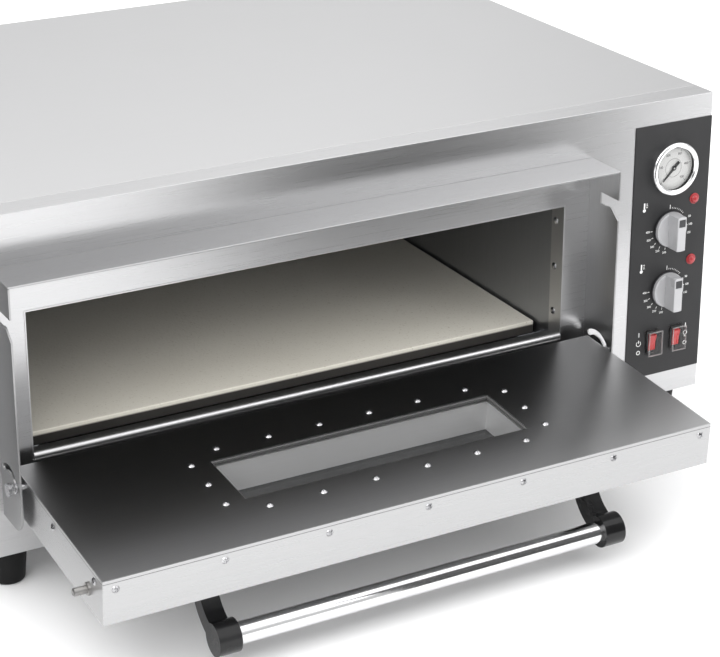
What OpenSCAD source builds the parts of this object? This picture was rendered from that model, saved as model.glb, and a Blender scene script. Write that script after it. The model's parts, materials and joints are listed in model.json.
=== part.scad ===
// Countertop electric deck oven: one baking chamber with a stone deck, a drop-down glazed door
// hinged between two side plates, and an electrical compartment with its controls on the right.
// Origin: on the supporting surface, under the middle of the oven with its door open.
// +X is to the right of a person facing the oven, +Y points to its back, +Z is up.

/* [Body] */
// Overall width of the casing
body_w = 900; // [760:1:1100]
// Height of the casing without its feet
body_h = 370; // [330:1:460]
// Depth of the casing behind the front panel's face
body_d = 680; // [560:1:820]
// Thickness of the casing's sheets
sheet = 1.5; // [0.8:0.1:2.5]
// Depth of the front panel's flange on the top
top_strip = 32; // [20:1:60]

/* [Feet] */
// Height of the feet
foot_h = 45; // [35:1:90]
// Diameter of a foot at its top
foot_d = 44; // [30:1:60]
// Distance from the casing's sides to a foot's axis
foot_inset = 34; // [30:1:60]

/* [Chamber] */
// Distance from the casing's right side to the chamber's opening
right_bay = 201.5; // [196:0.5:260]
// Height of the chamber's opening
opening_h = 154; // [120:1:160]
// Height of the sill above the casing's underside
sill_z = 110; // [100:1:120]
// Width of the front panel to the left of the opening
jamb_w = 58.5; // [50:0.5:80]
// Depth of the insulation behind the chamber
rear_space = 48; // [30:1:100]
// Thickness of the baking stone
stone_t = 16; // [10:1:20]
// Distance from the front panel's face to the stone
stone_gap = 52; // [30:1:60]

/* [Hood and hinge plates] */
// How far the hood and the hinge plates stand out
hood_d = 56; // [50:1:80]
// Thickness of the hood and of the hinge plates
plate_t = 2; // [1.5:0.1:3]
// Gap between the door and each hinge plate
side_gap = 6.5; // [4:0.5:10]
// Height of the hinge plates' lower end above the casing's underside
plate_bottom = 48; // [40:1:56]

/* [Door] */
// How far the door covers the front on each side of the opening
door_lap = 27; // [20:1:34]
// Height of the door when it is shut
door_len = 232; // [220:1:234]
// Thickness of the door
door_t = 48; // [40:1:52]
// Angle past level at which the open door rests on its stops
door_sag = 3.5; // [0:0.5:6]
// Distance from the door's sides to the window
window_margin = 181.5; // [165:0.5:200]
// Height of the window in the door
window_h = 82; // [60:1:100]
// Diameter of the handle's tube
tube_d = 23; // [18:1:28]
// Distance from the door's outer face to the tube's axis
handle_reach = 50; // [42:1:60]
// Distance from the door's sides to the handle's ends
handle_margin = 112; // [90:1:130]

/* [Controls] */
// Width of the control panel's overlay
overlay_w = 107; // [92:1:112]
// Distance from the casing's lower and upper edges to the overlay
overlay_margin = 28; // [10:1:34]
// Diameter of the thermometer's bezel
gauge_d = 64; // [56:1:72]
// Diameter of a thermostat knob
knob_d = 43; // [36:1:48]
// Height of a knob's grip over its disc
grip_h = 18; // [10:1:24]
// Diameter of an indicator lamp
lens_d = 13; // [11:1:16]

/* [Hidden] */
$fn = 48;
eps = 0.01;
hull_fn = 32;

// Clearances
running_gap = 0.05;
fit_gap = 0.2;
seam = 0.6;

// Casing
half_w = body_w / 2;
inner_w = half_w - sheet;
roof_z = body_h - sheet;
flange = 20;
opening_w = body_w - jamb_w - right_bay;
chamber_x = -half_w + jamb_w + opening_w / 2;
opening_top = sill_z + opening_h;

// Cooling slots of the electrical compartment
vent_count = 9;
vent_pitch = 14;
vent_len = 70;
vent_w = 5;
vent_margin = 60;
side_vent_drop = 60;
rear_vent_drop = 30;
rear_screw_margin = 60;
rear_screw_columns = 5;

// Chamber liner, stone and heating elements
chamber_d = body_d - rear_space;
liner_in_w = opening_w + 2 * sheet;
liner_out_w = liner_in_w + 2 * sheet;
liner_floor = sill_z - 50;
liner_roof = opening_top + 26;
liner_back = sheet + chamber_d;
liner_right = chamber_x + liner_out_w / 2;
liner_left = chamber_x - liner_out_w / 2;
stone_top = sill_z - 4;
stone_side_gap = 3.5;
stone_back_gap = 8;
rail_w = 25;
rail_h = 10;
rail_t = 2;
element_d = 8;
element_runs = 6;
element_bend_r = (chamber_d - 150) / (element_runs - 1) / 2;
element_front = 80;
element_side_gap = 40;
element_bush_d = 18;
element_bush_t = 4;
element_tail = 26;
lower_element_z = liner_floor + 11;
upper_element_z = liner_roof - 12;

// Frame round the opening
frame_depth = 24;
sill_drop = 6;
bead_r = 5;
bead_proud = 2;

// Divider between the chamber's side and the electrical compartment
overlay_x0 = half_w - overlay_w;
divider_gap = 22;
divider_x = overlay_x0 - divider_gap;
insulation_gap = 9.5;
insulation_top = roof_z - sheet - insulation_gap;

// Chamber lamp, on the right wall towards the back
lamp_y = 470;
lamp_z = sill_z + 80;
lamp_cup_d = 50;
lamp_cup_h = 46;
lamp_cup_room = 4;
lamp_glass_d = 60;
lamp_glass_t = 3;
bulb_d = 24;
bulb_base_d = 14;
bulb_neck = 14;
bulb_rise = 4;

// Hood and hinge plates
door_w = opening_w + 2 * door_lap;
door_half = door_w / 2;
plate_in = door_half + side_gap;
plate_out = plate_in + plate_t;
plate_round = 22;
plate_round_steps = 12;
hood_gap = 4;

// Door: its own frame has the hinge axis as origin and stands upright when shut
pivot_y = -24;
pivot_z = sill_z - 23;
pivot_depth = 20;
pivot_edge = 8;
door_skin = 1.5;
door_in = pivot_depth;
door_out = door_in - door_t;
door_bottom = -pivot_edge;
door_top = door_len - pivot_edge;
hood_z = pivot_z + door_top + hood_gap;
pan_wall = 15;
hinge_pin_d = 8;
hinge_block_w = 14;
hinge_block_z = 42;
hinge_head_d = 14;
hinge_head_t = 3;
stop_d = 6;
stop_slot = 7;
stop_slot_end = 7.4;
stop_radius = 24.4;
stop_shut_angle = 57.7;
stop_open_angle = stop_shut_angle + 90 + door_sag;
stop_head_d = 11;
stop_head_t = 3;
stop_head_gap = 0.3;
latch_d = 8;
latch_collar_d = 13;
latch_collar_t = 2.5;
latch_len = 16;
latch_y = door_in - 27.4;
latch_z = 188.7;

// The latch's notch, from the pin's place when the door is shut
notch_up = 7.3;
notch_pocket_drop = 6.2;
notch_crest_drop = 5.1;
notch_front_drop = 16.7;
notch_crest_y = [-10.6, -5.6];
notch_pocket_y = [-1.6, 9.4];

// Window: seen from the chamber, pan, gasket, inner glass, well and outer glass lie in turn
window_w = door_w - 2 * window_margin;
window_z0 = door_bottom + 74;
window_z1 = window_z0 + window_h;
window_x = window_w / 2;
gasket_t = 3;
gasket_show = 2;
glass_t = 4;
glass_lap = 15;
rim_gap = 0.5;
rim_w = 15;
screw_line = 21;
window_screw_pitch = window_w * 0.09;
edge_screw_inset = 13;
edge_screw_depth = 11;
edge_screw_l = 10;
side_screw_heights = [106, 211];
well_t = 1.2;

// Screws with a domed head
screw_d = 4;
screw_hole = 4.4;
screw_head_d = 8;
screw_head_h = 2.2;

// Handle
handle_w = door_w - 2 * handle_margin;
handle_z = 223;
bracket_w = 24;
arm_w = 20;
arm_t = 18;
cap_d = 34;
socket_depth = 12;
bracket_pad_h = 44;
bracket_pad_t = 5;
bracket_screw_dz = 13;
bracket_bite = 4;
handle_y = door_out - handle_reach;
handle_half = handle_w / 2;

// Controls
overlay_t = 1;
overlay_z0 = overlay_margin;
overlay_h = body_h - 2 * overlay_margin;
control_x = half_w - overlay_w / 2;
gauge_z = overlay_z0 + 0.825 * overlay_h;
knob_zs = [overlay_z0 + 0.586 * overlay_h, overlay_z0 + 0.344 * overlay_h];
lens_rise = 31.5;
lens_zs = [for (z = knob_zs) z + lens_rise];
lens_x = control_x + 34;
switch_z = overlay_z0 + 0.14 * overlay_h;
switch_xs = [control_x - 17.2, control_x + 17.2];

gauge_r = gauge_d / 2;
gauge_case_r = gauge_r - 4;
gauge_front = 10;
gauge_back = 22;
gauge_lip = 2.5;
gauge_glass_t = 1.5;
gauge_wall = 1.5;
gauge_ledge = 2;
gauge_pin_d = 1.6;
needle_t = 1;
needle_start = 135;
gauge_case_front = gauge_front - gauge_glass_t - gauge_wall;

knob_gap = 1;
knob_disc_t = 6;
grip_w = 12;
spindle_d = 6;
spindle_hole = 10;
thermostat_w = 46;
thermostat_d = 32;
thermostat_bore = 15;

lens_h = 5;
indicator_body_d = 10;
indicator_body_l = 20;

switch_w = 17;
switch_h = 28;
switch_rim = 2.2;
switch_rim_t = 2;
switch_body_d = 24;
rocker_gap = 0.7;
rocker_tilt = 8;
rocker_pivot_y = 4;
rocker_t = 4.5;
rocker_axle_d = 3;
cover_t = 1;
cover_h = 10;
cover_gap = 0.4;

// Sensing bulbs
probe_d = 3;
probe_bulb_d = 6;
probe_bulb_l = 70;
probe_bush_d = 12;
probe_bush_t = 3;

// Inlet and terminals
gland_x = control_x + 8;
gland_z = 70;
gland_bore = 14;
gland_d = 24;
gland_nut_d = 30;
gland_out = 20;
gland_in = 12;
gland_nut_t = 6;
gland_neck_d = gland_d - 6;
terminal_size = [34, 70, 30];
terminal_gap = [6, 90];
terminal_count = 5;
terminal_pitch = 13;
terminal_well = [6, 8];

// Feet
foot_taper = 6;
foot_edge = 4;
foot_round = 2;
foot_bore = 12;
foot_screw_l = 10;

// Place of the casing in the part's frame: the box round the whole oven is centred on Y = 0
open_angle = 90 + door_sag;
function turned_y(y, z) = y * cos(open_angle) - z * sin(open_angle);
front_reach = pivot_y + min(
    turned_y(handle_y, handle_z) - cap_d / 2,
    turned_y(door_out, door_top + screw_head_h)
);
back_reach = body_d + gland_out;
front_y = -(front_reach + back_reach) / 2;

// ---- Helpers ----

// Moves the casing's own frame (front face, underside, middle) into the part's frame
module place() {
    translate([0, front_y, foot_h]) children();
}

// Moves the door's own frame to the hinge axis and lays the door open on its stops
module on_door() {
    place() translate([chamber_x, pivot_y, pivot_z]) rotate([open_angle, 0, 0]) children();
}

module block(low, high) {
    translate(low) cube(high - low);
}

// A sheet in an XZ plane, drawn from the front, between y and y + t
module upright(y, t) {
    translate([0, y + t, 0]) rotate([90, 0, 0]) linear_extrude(t) children();
}

// A sheet in a YZ plane, between x and x + t
module side_sheet(x, t) {
    translate([x, 0, 0]) rotate([90, 0, 90]) linear_extrude(t) children();
}

module rod_x(d, x0, x1) {
    translate([x0, 0, 0]) rotate([0, 90, 0]) cylinder(d = d, h = x1 - x0);
}

module rod_y(d, y0, y1) {
    translate([0, y0, 0]) rotate([-90, 0, 0]) cylinder(d = d, h = y1 - y0);
}

// A screw whose head stands on z = 0 and whose shank runs down
module screw(shank) {
    translate([0, 0, -shank]) cylinder(d = screw_d, h = shank + eps);
    intersection() {
        cylinder(d = screw_head_d, h = screw_head_h);
        translate([0, 0, screw_head_h - screw_head_d * 0.75]) sphere(d = screw_head_d * 1.5);
    }
}

// ---- Casing ----

module front_panel() place() color("silver") {
    difference() {
        upright(0, sheet) difference() {
            translate([-half_w, 0]) square([body_w, body_h]);
            translate([chamber_x - opening_w / 2 - sheet, sill_z - sill_drop - sheet])
                square([opening_w + 2 * sheet, opening_h + sill_drop + 2 * sheet]);
            control_cutouts();
        }
    }
    block([-half_w, sheet - eps, roof_z], [half_w, top_strip, body_h]);
}

// Holes in the front panel and its overlay, drawn from the front
module control_cutouts() {
    translate([control_x, gauge_z]) circle(r = gauge_case_r + fit_gap);
    for (z = knob_zs) translate([control_x, z]) circle(d = spindle_hole);
    for (z = lens_zs) translate([lens_x, z]) circle(d = indicator_body_d + fit_gap);
    for (x = switch_xs)
        translate([x - switch_w / 2 + switch_rim / 2, switch_z - switch_h / 2 + switch_rim / 2])
            square([switch_w - switch_rim, switch_h - switch_rim]);
}

module top_cover() place() color("whitesmoke") {
    block([-half_w, top_strip + seam, roof_z], [half_w, body_d, body_h]);
}

module side_profile() {
    translate([sheet, 0]) square([body_d - sheet, roof_z]);
}

module left_side_panel() place() color("gainsboro") {
    side_sheet(-half_w, sheet) side_profile();
    block([-inner_w - eps, 2 * flange, roof_z - sheet],
          [-inner_w + flange, body_d - flange, roof_z]);
}

module right_side_panel() place() color("gainsboro") {
    side_sheet(inner_w, sheet) difference() {
        side_profile();
        side_vents();
    }
    block([inner_w - flange, 2 * flange, roof_z - sheet], [inner_w + eps, body_d - flange, roof_z]);
}

module side_vents() {
    for (row = [0 : 1], i = [0 : vent_count - 1])
        translate([body_d - vent_margin - row * (vent_len + flange) - vent_len,
                   body_h / 2 - side_vent_drop + i * vent_pitch])
            square([vent_len, vent_w]);
}

module rear_panel() place() color("gainsboro") {
    difference() {
        upright(body_d - sheet, sheet) difference() {
            translate([-inner_w, 0]) square([2 * inner_w, roof_z]);
            translate([gland_x, gland_z]) circle(d = gland_neck_d);
            for (i = [0 : vent_count - 1])
                translate([control_x - vent_len / 2, body_h / 2 - rear_vent_drop + i * vent_pitch])
                    square([vent_len, vent_w]);
        }
        for (p = rear_screws()) translate([p[0], body_d, p[1]]) rod_y(screw_hole, -2 * sheet, sheet);
    }
}

function rear_screws() = [
    for (z = [rear_screw_margin, body_h - rear_screw_margin], i = [0 : rear_screw_columns - 1])
        [-half_w + rear_screw_margin
             + i * (body_w - 2 * rear_screw_margin) / (rear_screw_columns - 1), z]
];

module base_pan() place() color("gainsboro") {
    difference() {
        union() {
            block([-inner_w, sheet, 0], [inner_w, body_d - sheet, sheet]);
            for (side = [-1, 1])
                block([min(side * inner_w, side * (inner_w - sheet)), 2 * sheet, 0],
                      [max(side * inner_w, side * (inner_w - sheet)), body_d - 2 * sheet, flange]);
        }
        for (x = [-1, 1], y = foot_ys())
            translate([x * (half_w - foot_inset), y, -1]) cylinder(d = screw_hole, h = 2 * sheet + 1);
    }
}

module divider_panel() place() color("silver") {
    difference() {
        block([divider_x, sheet, sheet], [divider_x + sheet, body_d - sheet, roof_z - sheet]);
        wall_passages(divider_x - 1, divider_x + sheet + 1, 1);
    }
}

// Bores along X for the heating elements' and the probes' tubes
module wall_passages(x0, x1, gap) {
    for (z = [lower_element_z, upper_element_z], y = element_end_ys())
        translate([0, y, z]) rod_x(element_d + 2 * gap, x0, x1);
    for (p = probes) translate([0, p[2], p[3]]) rod_x(probe_d + 2 * gap, x0, x1);
}

// ---- Chamber ----

module frame_section() {
    difference() {
        translate([-opening_w / 2 - sheet, sill_z - sill_drop - sheet])
            square([opening_w + 2 * sheet, opening_h + sill_drop + 2 * sheet]);
        translate([-opening_w / 2, sill_z - sill_drop]) square([opening_w, opening_h + sill_drop]);
    }
}

module chamber_frame() place() color("silver") translate([chamber_x, 0, 0]) {
    difference() {
        union() {
            upright(0, frame_depth) frame_section();
            difference() {
                translate([0, bead_r - bead_proud, sill_z - bead_r])
                    rod_x(2 * bead_r, -opening_w / 2, opening_w / 2);
                block([-opening_w, 0, 0], [opening_w, frame_depth, sill_z - sill_drop - sheet]);
            }
        }
        for (side = [-1, 1], z = jamb_screw_zs())
            translate([side * (opening_w / 2 + sheet / 2), frame_depth - 8, z])
                rod_x(screw_hole, -sheet, sheet);
    }
}

function jamb_screw_zs() = [for (i = [-1 : 1]) sill_z + opening_h / 2 + i * opening_h * 0.36];

module chamber_liner() place() color("dimgray") {
    difference() {
        block([liner_left, sheet, liner_floor - sheet],
              [liner_right, liner_back + sheet, liner_roof + sheet]);
        block([liner_left + sheet, sheet - 1, liner_floor],
              [liner_right - sheet, liner_back, liner_roof]);
        wall_passages(liner_right - 2 * sheet, liner_right + 1, fit_gap);
        translate([0, lamp_y, lamp_z]) rod_x(lamp_cup_d - 4, liner_right - 2 * sheet, liner_right + 1);
        for (side = [-1, 1], z = jamb_screw_zs())
            translate([chamber_x + side * (liner_out_w - sheet) / 2, frame_depth - 8, z])
                rod_x(screw_hole, -sheet, sheet);
    }
}

module baking_stone() place() color("bisque") {
    block([liner_left + sheet + stone_side_gap, stone_gap, stone_top - stone_t],
          [liner_right - sheet - stone_side_gap, liner_back - stone_back_gap, stone_top]);
}

module stone_rails() place() color("dimgray") {
    for (side = [-1, 1]) translate([chamber_x, 0, 0]) {
        wall_x = side * liner_in_w / 2;
        inner_x = wall_x - side * rail_w;
        leg_x = wall_x - side * rail_t;
        rail_z = stone_top - stone_t;
        block([min(wall_x, inner_x), stone_gap, rail_z - rail_t],
              [max(wall_x, inner_x), liner_back - stone_back_gap, rail_z]);
        block([min(wall_x, leg_x), stone_gap, rail_z - rail_h],
              [max(wall_x, leg_x), liner_back - stone_back_gap, rail_z - rail_t + eps]);
    }
}

// A tubular heater: straight runs along X joined by half-round bends, with both ends on the right
function element_ys() = [for (i = [0 : element_runs - 1]) element_front + i * 2 * element_bend_r];
function element_end_ys() = [element_front, element_front + (element_runs - 1) * 2 * element_bend_r];

module half_bend(side) {
    rotate(side > 0 ? -90 : 90) rotate_extrude(angle = 180)
        translate([element_bend_r, 0]) circle(d = element_d);
}

module element(z) {
    ys = element_ys();
    x_left = liner_left + sheet + element_side_gap + element_bend_r;
    x_right = liner_right - sheet - element_side_gap - element_bend_r;
    x_end = divider_x + sheet + element_tail;
    for (i = [0 : element_runs - 1]) {
        last = i == 0 || i == element_runs - 1;
        translate([0, ys[i], z]) rod_x(element_d, x_left, last ? x_end : x_right);
        if (last) translate([0, ys[i], z])
            rod_x(element_bush_d, liner_right - sheet - element_bush_t, liner_right - sheet);
    }
    for (i = [0 : element_runs - 2]) {
        side = i % 2 == 0 ? -1 : 1;
        translate([side > 0 ? x_right : x_left, ys[i] + element_bend_r, z]) half_bend(side);
    }
}

module upper_element() place() color("dimgray") element(upper_element_z);
module lower_element() place() color("dimgray") element(lower_element_z);

module insulation() place() color("khaki") {
    x0 = -inner_w + sheet;
    x1 = divider_x;
    z0 = sheet + screw_head_h + fit_gap;
    z1 = liner_floor - sheet;
    z2 = liner_roof + sheet;
    y1 = liner_back + sheet;
    block([x0, flange, z0], [x1, y1, z1]);
    block([x0, sheet, z2], [x1, y1, insulation_top]);
    block([x0, sheet, z1], [liner_left, y1, z2]);
    block([x0, y1, z0], [x1, body_d - sheet, insulation_top]);
    difference() {
        block([liner_right, sheet, z1], [x1, y1, z2]);
        wall_passages(liner_right - 1, x1 + 1, 1);
        translate([0, lamp_y, lamp_z])
            rod_x(lamp_cup_d + 4 * sheet, liner_right - 1, liner_right + lamp_cup_h + lamp_cup_room);
    }
}

module lamp_housing() place() color("silver") translate([0, lamp_y, lamp_z]) {
    difference() {
        rod_x(lamp_cup_d, liner_right, liner_right + lamp_cup_h);
        rod_x(lamp_cup_d - 2 * sheet, liner_right - 1, liner_right + lamp_cup_h - sheet);
    }
}

module lamp_bulb() place() color("ivory") translate([0, lamp_y, lamp_z]) {
    translate([liner_right + lamp_cup_h - sheet, 0, 0]) rotate([0, -90, 0]) rotate_extrude() polygon(concat(
        [[0, 0], [bulb_base_d / 2, 0], [bulb_base_d / 2, bulb_neck]],
        [for (a = [-45 : 15 : 75])
            [bulb_d / 2 * cos(a), bulb_neck + bulb_base_d + bulb_d / 2 * sin(a) - bulb_rise]],
        [[0, bulb_neck + bulb_base_d + bulb_d / 2 - bulb_rise]]
    ));
}

module lamp_glass() place() color("lightcyan") translate([0, lamp_y, lamp_z]) {
    rod_x(lamp_glass_d, liner_right - sheet - lamp_glass_t, liner_right - sheet);
}

// ---- Hood and hinge plates ----

module hood() place() color("silver") {
    block([chamber_x - plate_out, -hood_d, hood_z], [chamber_x + plate_out, 0, hood_z + plate_t]);
}

// The latch's notch: a ramp from the front edge, a low crest and the pocket behind it
module latch_notch() {
    y = pivot_y + latch_y;
    z = pivot_z + latch_z;
    polygon([
        [-hood_d - 1, z + notch_up], [-hood_d - 1, z - notch_front_drop - 1],
        [-hood_d, z - notch_front_drop],
        [y + notch_crest_y[0], z - notch_crest_drop], [y + notch_crest_y[1], z - notch_crest_drop],
        [y + notch_pocket_y[0], z - notch_pocket_drop], [y + notch_pocket_y[1], z - notch_pocket_drop],
        [y + notch_pocket_y[1], z + notch_up]
    ]);
}

// The curved slot that guides a stop screw, centred on the hinge axis
module stop_path() {
    intersection() {
        difference() {
            circle(r = stop_radius + stop_slot / 2);
            circle(r = stop_radius - stop_slot / 2);
        }
        polygon(concat([[0, 0]], [
            for (i = [0 : 6]) let (a = stop_shut_angle + i * (stop_open_angle - stop_shut_angle) / 6)
                2 * stop_radius * [cos(a), sin(a)]
        ]));
    }
    for (a = [stop_shut_angle, stop_open_angle])
        rotate(a) translate([stop_radius, 0]) circle(d = stop_slot_end);
}

module hinge_plate(x) place() color("dimgray") {
    side_sheet(x, plate_t) difference() {
        polygon(concat(
            [[0, plate_bottom], [0, hood_z], [-hood_d, hood_z]],
            [for (i = [0 : plate_round_steps])
                [-hood_d + plate_round, plate_bottom + plate_round]
                    + plate_round * [-cos(i * 90 / plate_round_steps), -sin(i * 90 / plate_round_steps)]]
        ));
        latch_notch();
        translate([pivot_y, pivot_z]) {
            circle(d = hinge_pin_d + 2 * running_gap);
            stop_path();
        }
    }
}

module hinge_plate_left() hinge_plate(chamber_x - plate_out);
module hinge_plate_right() hinge_plate(chamber_x + plate_in);

module hinge_pins() place() color("gray") translate([chamber_x, pivot_y, pivot_z]) {
    for (side = [-1, 1]) mirror([side < 0 ? 1 : 0, 0, 0]) {
        rod_x(hinge_pin_d, door_half - 2 * door_skin - hinge_block_w + 1, plate_out + eps);
        rod_x(hinge_head_d, plate_out, plate_out + hinge_head_t);
    }
}

// ---- Door ----

function window_screw_places() = concat(
    [for (i = [-5 : 2 : 5], z = [window_z0 - screw_line, window_z1 + screw_line])
        [i * window_screw_pitch, z]],
    [for (x = [-1, 1], i = [0 : 2]) [x * (window_x + screw_line), window_z0 + i * window_h / 2]]
);
function edge_screw_xs() = [for (i = [-3 : 3]) i * (door_w - 2 * edge_screw_inset) / 6];
function side_screw_zs() = [for (h = side_screw_heights) door_bottom + h];
edge_screw_y = door_in - edge_screw_depth;

module door_screw_holes(d) {
    for (p = window_screw_places()) translate([p[0], 0, p[1]]) rod_y(d, door_in - 10, door_in + 1);
    for (x = edge_screw_xs()) translate([x, edge_screw_y, door_top - edge_screw_l])
        cylinder(d = d, h = edge_screw_l + 2);
    for (side = [-1, 1], z = side_screw_zs())
        translate([0, edge_screw_y, z])
            rod_x(d, side * door_half - 5, side * door_half + 5);
}

// Bores through the door's side walls at the hinge and at the stop screws
module door_side_bores() {
    for (side = [-1, 1]) translate([side * door_half, 0, 0]) {
        rod_x(hinge_pin_d + 1, -8, 8);
        rotate([stop_shut_angle, 0, 0]) translate([0, stop_radius, 0]) rod_x(stop_d + fit_gap, -4, 4);
    }
}

module window_hole(grow, y0, y1) {
    block([-window_x - grow, y0, window_z0 - grow], [window_x + grow, y1, window_z1 + grow]);
}

module door_shell() on_door() color("gainsboro") {
    difference() {
        block([-door_half, door_out, door_bottom], [door_half, door_in, door_top]);
        block([-door_half + door_skin, door_out + door_skin, door_bottom + door_skin],
              [door_half - door_skin, door_in + 1, door_top - door_skin]);
        window_hole(0, door_out - 1, door_out + 2 * door_skin);
        door_screw_holes(screw_hole);
        door_side_bores();
        bracket_screws(screw_hole, 12);
    }
}

module door_pan() on_door() color("silver") {
    difference() {
        block([-door_half + door_skin, door_in - pan_wall, door_bottom + door_skin],
              [door_half - door_skin, door_in, door_top - door_skin]);
        block([-door_half + 2 * door_skin, door_in - pan_wall - 1, door_bottom + 2 * door_skin],
              [door_half - 2 * door_skin, door_in - door_skin, door_top - 2 * door_skin]);
        window_hole(0, door_in - 2 * door_skin, door_in + 1);
        door_screw_holes(screw_hole);
        door_side_bores();
    }
}

module door_insulation() on_door() color("khaki") {
    difference() {
        block([-door_half + 2 * door_skin, door_out + door_skin, door_bottom + 2 * door_skin],
              [door_half - 2 * door_skin, door_in - door_skin, door_top - 2 * door_skin]);
        window_hole(glass_lap + rim_gap + rim_w + 1, door_out, door_in);
        for (side = [-1, 1])
            translate([side * (door_half - 2 * door_skin - hinge_block_w / 2), 0, 0])
                block([-hinge_block_w / 2 - 1, door_out, door_bottom],
                      [hinge_block_w / 2 + 1, door_in, hinge_block_z + 1]);
        for (x = edge_screw_xs())
            translate([x, edge_screw_y, door_top - 12]) cylinder(d = screw_head_d, h = 12);
        for (side = [-1, 1], z = side_screw_zs()) translate([0, edge_screw_y, z])
            rod_x(screw_head_d, side * door_half - 8, side * door_half + 8);
        bracket_screws(screw_head_d + 4, 12);
    }
}

module window_well() on_door() color("lightgray") {
    pocket = gasket_t + glass_t;
    face = door_in - door_skin;
    difference() {
        window_hole(glass_lap + rim_gap + rim_w, face - pocket - well_t, face);
        window_hole(glass_lap + rim_gap, face - pocket, face + 1);
        window_hole(0, door_out, door_in);
        door_screw_holes(screw_hole);
    }
    difference() {
        window_hole(well_t, door_out + door_skin + glass_t, face - pocket - well_t + eps);
        window_hole(0, door_out, door_in);
    }
    difference() {
        window_hole(glass_lap, door_out + door_skin + glass_t,
                    door_out + door_skin + glass_t + well_t);
        window_hole(0, door_out, door_in);
    }
}

module window_gasket() on_door() color("tan") {
    face = door_in - door_skin;
    difference() {
        window_hole(glass_lap, face - gasket_t, face);
        window_hole(-gasket_show, door_out, door_in);
    }
}

module inner_glass() on_door() color("lightsteelblue") {
    face = door_in - door_skin - gasket_t;
    window_hole(glass_lap, face - glass_t, face);
}

module outer_glass() on_door() color("lightsteelblue") {
    face = door_out + door_skin;
    window_hole(glass_lap, face, face + glass_t);
}

module door_screws() on_door() color("silver") {
    shank = 2 * door_skin + 0.5;
    for (p = window_screw_places())
        translate([p[0], door_in, p[1]]) rotate([-90, 0, 0]) screw(shank);
    for (x = edge_screw_xs()) translate([x, edge_screw_y, door_top]) screw(shank);
    for (side = [-1, 1], z = side_screw_zs())
        translate([side * door_half, edge_screw_y, z]) rotate([0, side * 90, 0]) screw(shank);
    bracket_screws(screw_d, bracket_bite);
    bracket_screws(screw_head_d, -door_skin, door_skin + screw_head_h);
}

// Screws from inside the door into each handle bracket
module bracket_screws(d, out, back = 8) {
    for (side = [-1, 1], end = [-1, 1])
        translate([side * (handle_half - bracket_w / 2), 0,
                   handle_z - handle_reach + end * bracket_screw_dz])
            rod_y(d, door_out - out, door_out + back);
}

module hinge_blocks() on_door() color("dimgray") {
    for (side = [-1, 1]) mirror([side < 0 ? 1 : 0, 0, 0]) difference() {
        x1 = door_half - 2 * door_skin;
        block([x1 - hinge_block_w, door_out + door_skin, door_bottom + 2 * door_skin],
              [x1, door_in - door_skin, hinge_block_z]);
        rod_x(hinge_pin_d + 2 * running_gap, x1 - hinge_block_w - 1, x1 + 1);
    }
}

module latch_pins() on_door() color("dimgray") {
    for (side = [-1, 1]) mirror([side < 0 ? 1 : 0, 0, 0]) translate([0, latch_y, latch_z]) {
        rod_x(latch_d, door_half, door_half + latch_len);
        rod_x(latch_collar_d, door_half, door_half + latch_collar_t);
    }
}

module stop_screws() on_door() color("silver") {
    for (side = [-1, 1]) mirror([side < 0 ? 1 : 0, 0, 0])
        rotate([stop_shut_angle, 0, 0]) translate([0, stop_radius, 0]) {
            rod_x(stop_d, door_half - 2 * door_skin, plate_out + stop_head_gap + eps);
            rod_x(stop_head_d, plate_out + stop_head_gap, plate_out + stop_head_gap + stop_head_t);
        }
}

// A handle bracket: a pad on the door, a quarter-round arm and the tube's end cap
module handle_bracket(side) on_door() color([0.12, 0.12, 0.13]) {
    x_mid = side * (handle_half - bracket_w / 2);
    difference() {
        union() {
            side_sheet(x_mid - arm_w / 2, arm_w) intersection() {
                translate([door_out, handle_z]) difference() {
                    circle(r = handle_reach + arm_t / 2);
                    circle(r = handle_reach - arm_t / 2);
                }
                translate([door_out - 2 * handle_reach, handle_z - 2 * handle_reach])
                    square([2 * handle_reach, 2 * handle_reach]);
            }
            translate([x_mid, door_out, handle_z - handle_reach])
                block([-bracket_w / 2, -bracket_pad_t, -bracket_pad_h / 2],
                      [bracket_w / 2, 0, bracket_pad_h / 2]);
            translate([x_mid, handle_y, handle_z]) rod_x(cap_d, -bracket_w / 2, bracket_w / 2);
        }
        translate([x_mid - side * bracket_w / 2, handle_y, handle_z])
            rod_x(tube_d + 2 * running_gap, -socket_depth, socket_depth);
        bracket_screws(screw_hole, bracket_bite + 1);
    }
}

module handle_bracket_left() handle_bracket(-1);
module handle_bracket_right() handle_bracket(1);

module handle_tube() on_door() color("lightgray") {
    reach = handle_half - bracket_w + socket_depth;
    translate([0, handle_y, handle_z]) difference() {
        rod_x(tube_d, -reach, reach);
        rod_x(tube_d - 2 * sheet, -reach - 1, reach + 1);
    }
}

// ---- Controls ----

module control_overlay() place() color([0.2, 0.2, 0.21]) {
    upright(-overlay_t, overlay_t) difference() {
        translate([overlay_x0, overlay_z0]) square([overlay_w, overlay_h]);
        control_cutouts();
    }
}

// Turns a profile drawn as (radius, height) about the gauge's axis, with height towards the front
module on_gauge() {
    translate([control_x, 0, gauge_z]) rotate([90, 0, 0]) children();
}

module gauge_case() place() color([0.1, 0.1, 0.1]) on_gauge() difference() {
    translate([0, 0, -gauge_back]) cylinder(r = gauge_case_r, h = gauge_back + gauge_case_front);
    translate([0, 0, gauge_ledge]) cylinder(r = gauge_case_r - gauge_wall, h = gauge_front);
    translate([0, 0, -gauge_back + gauge_wall])
        cylinder(r = gauge_case_r - gauge_wall - gauge_ledge, h = gauge_back + gauge_front);
}

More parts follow.
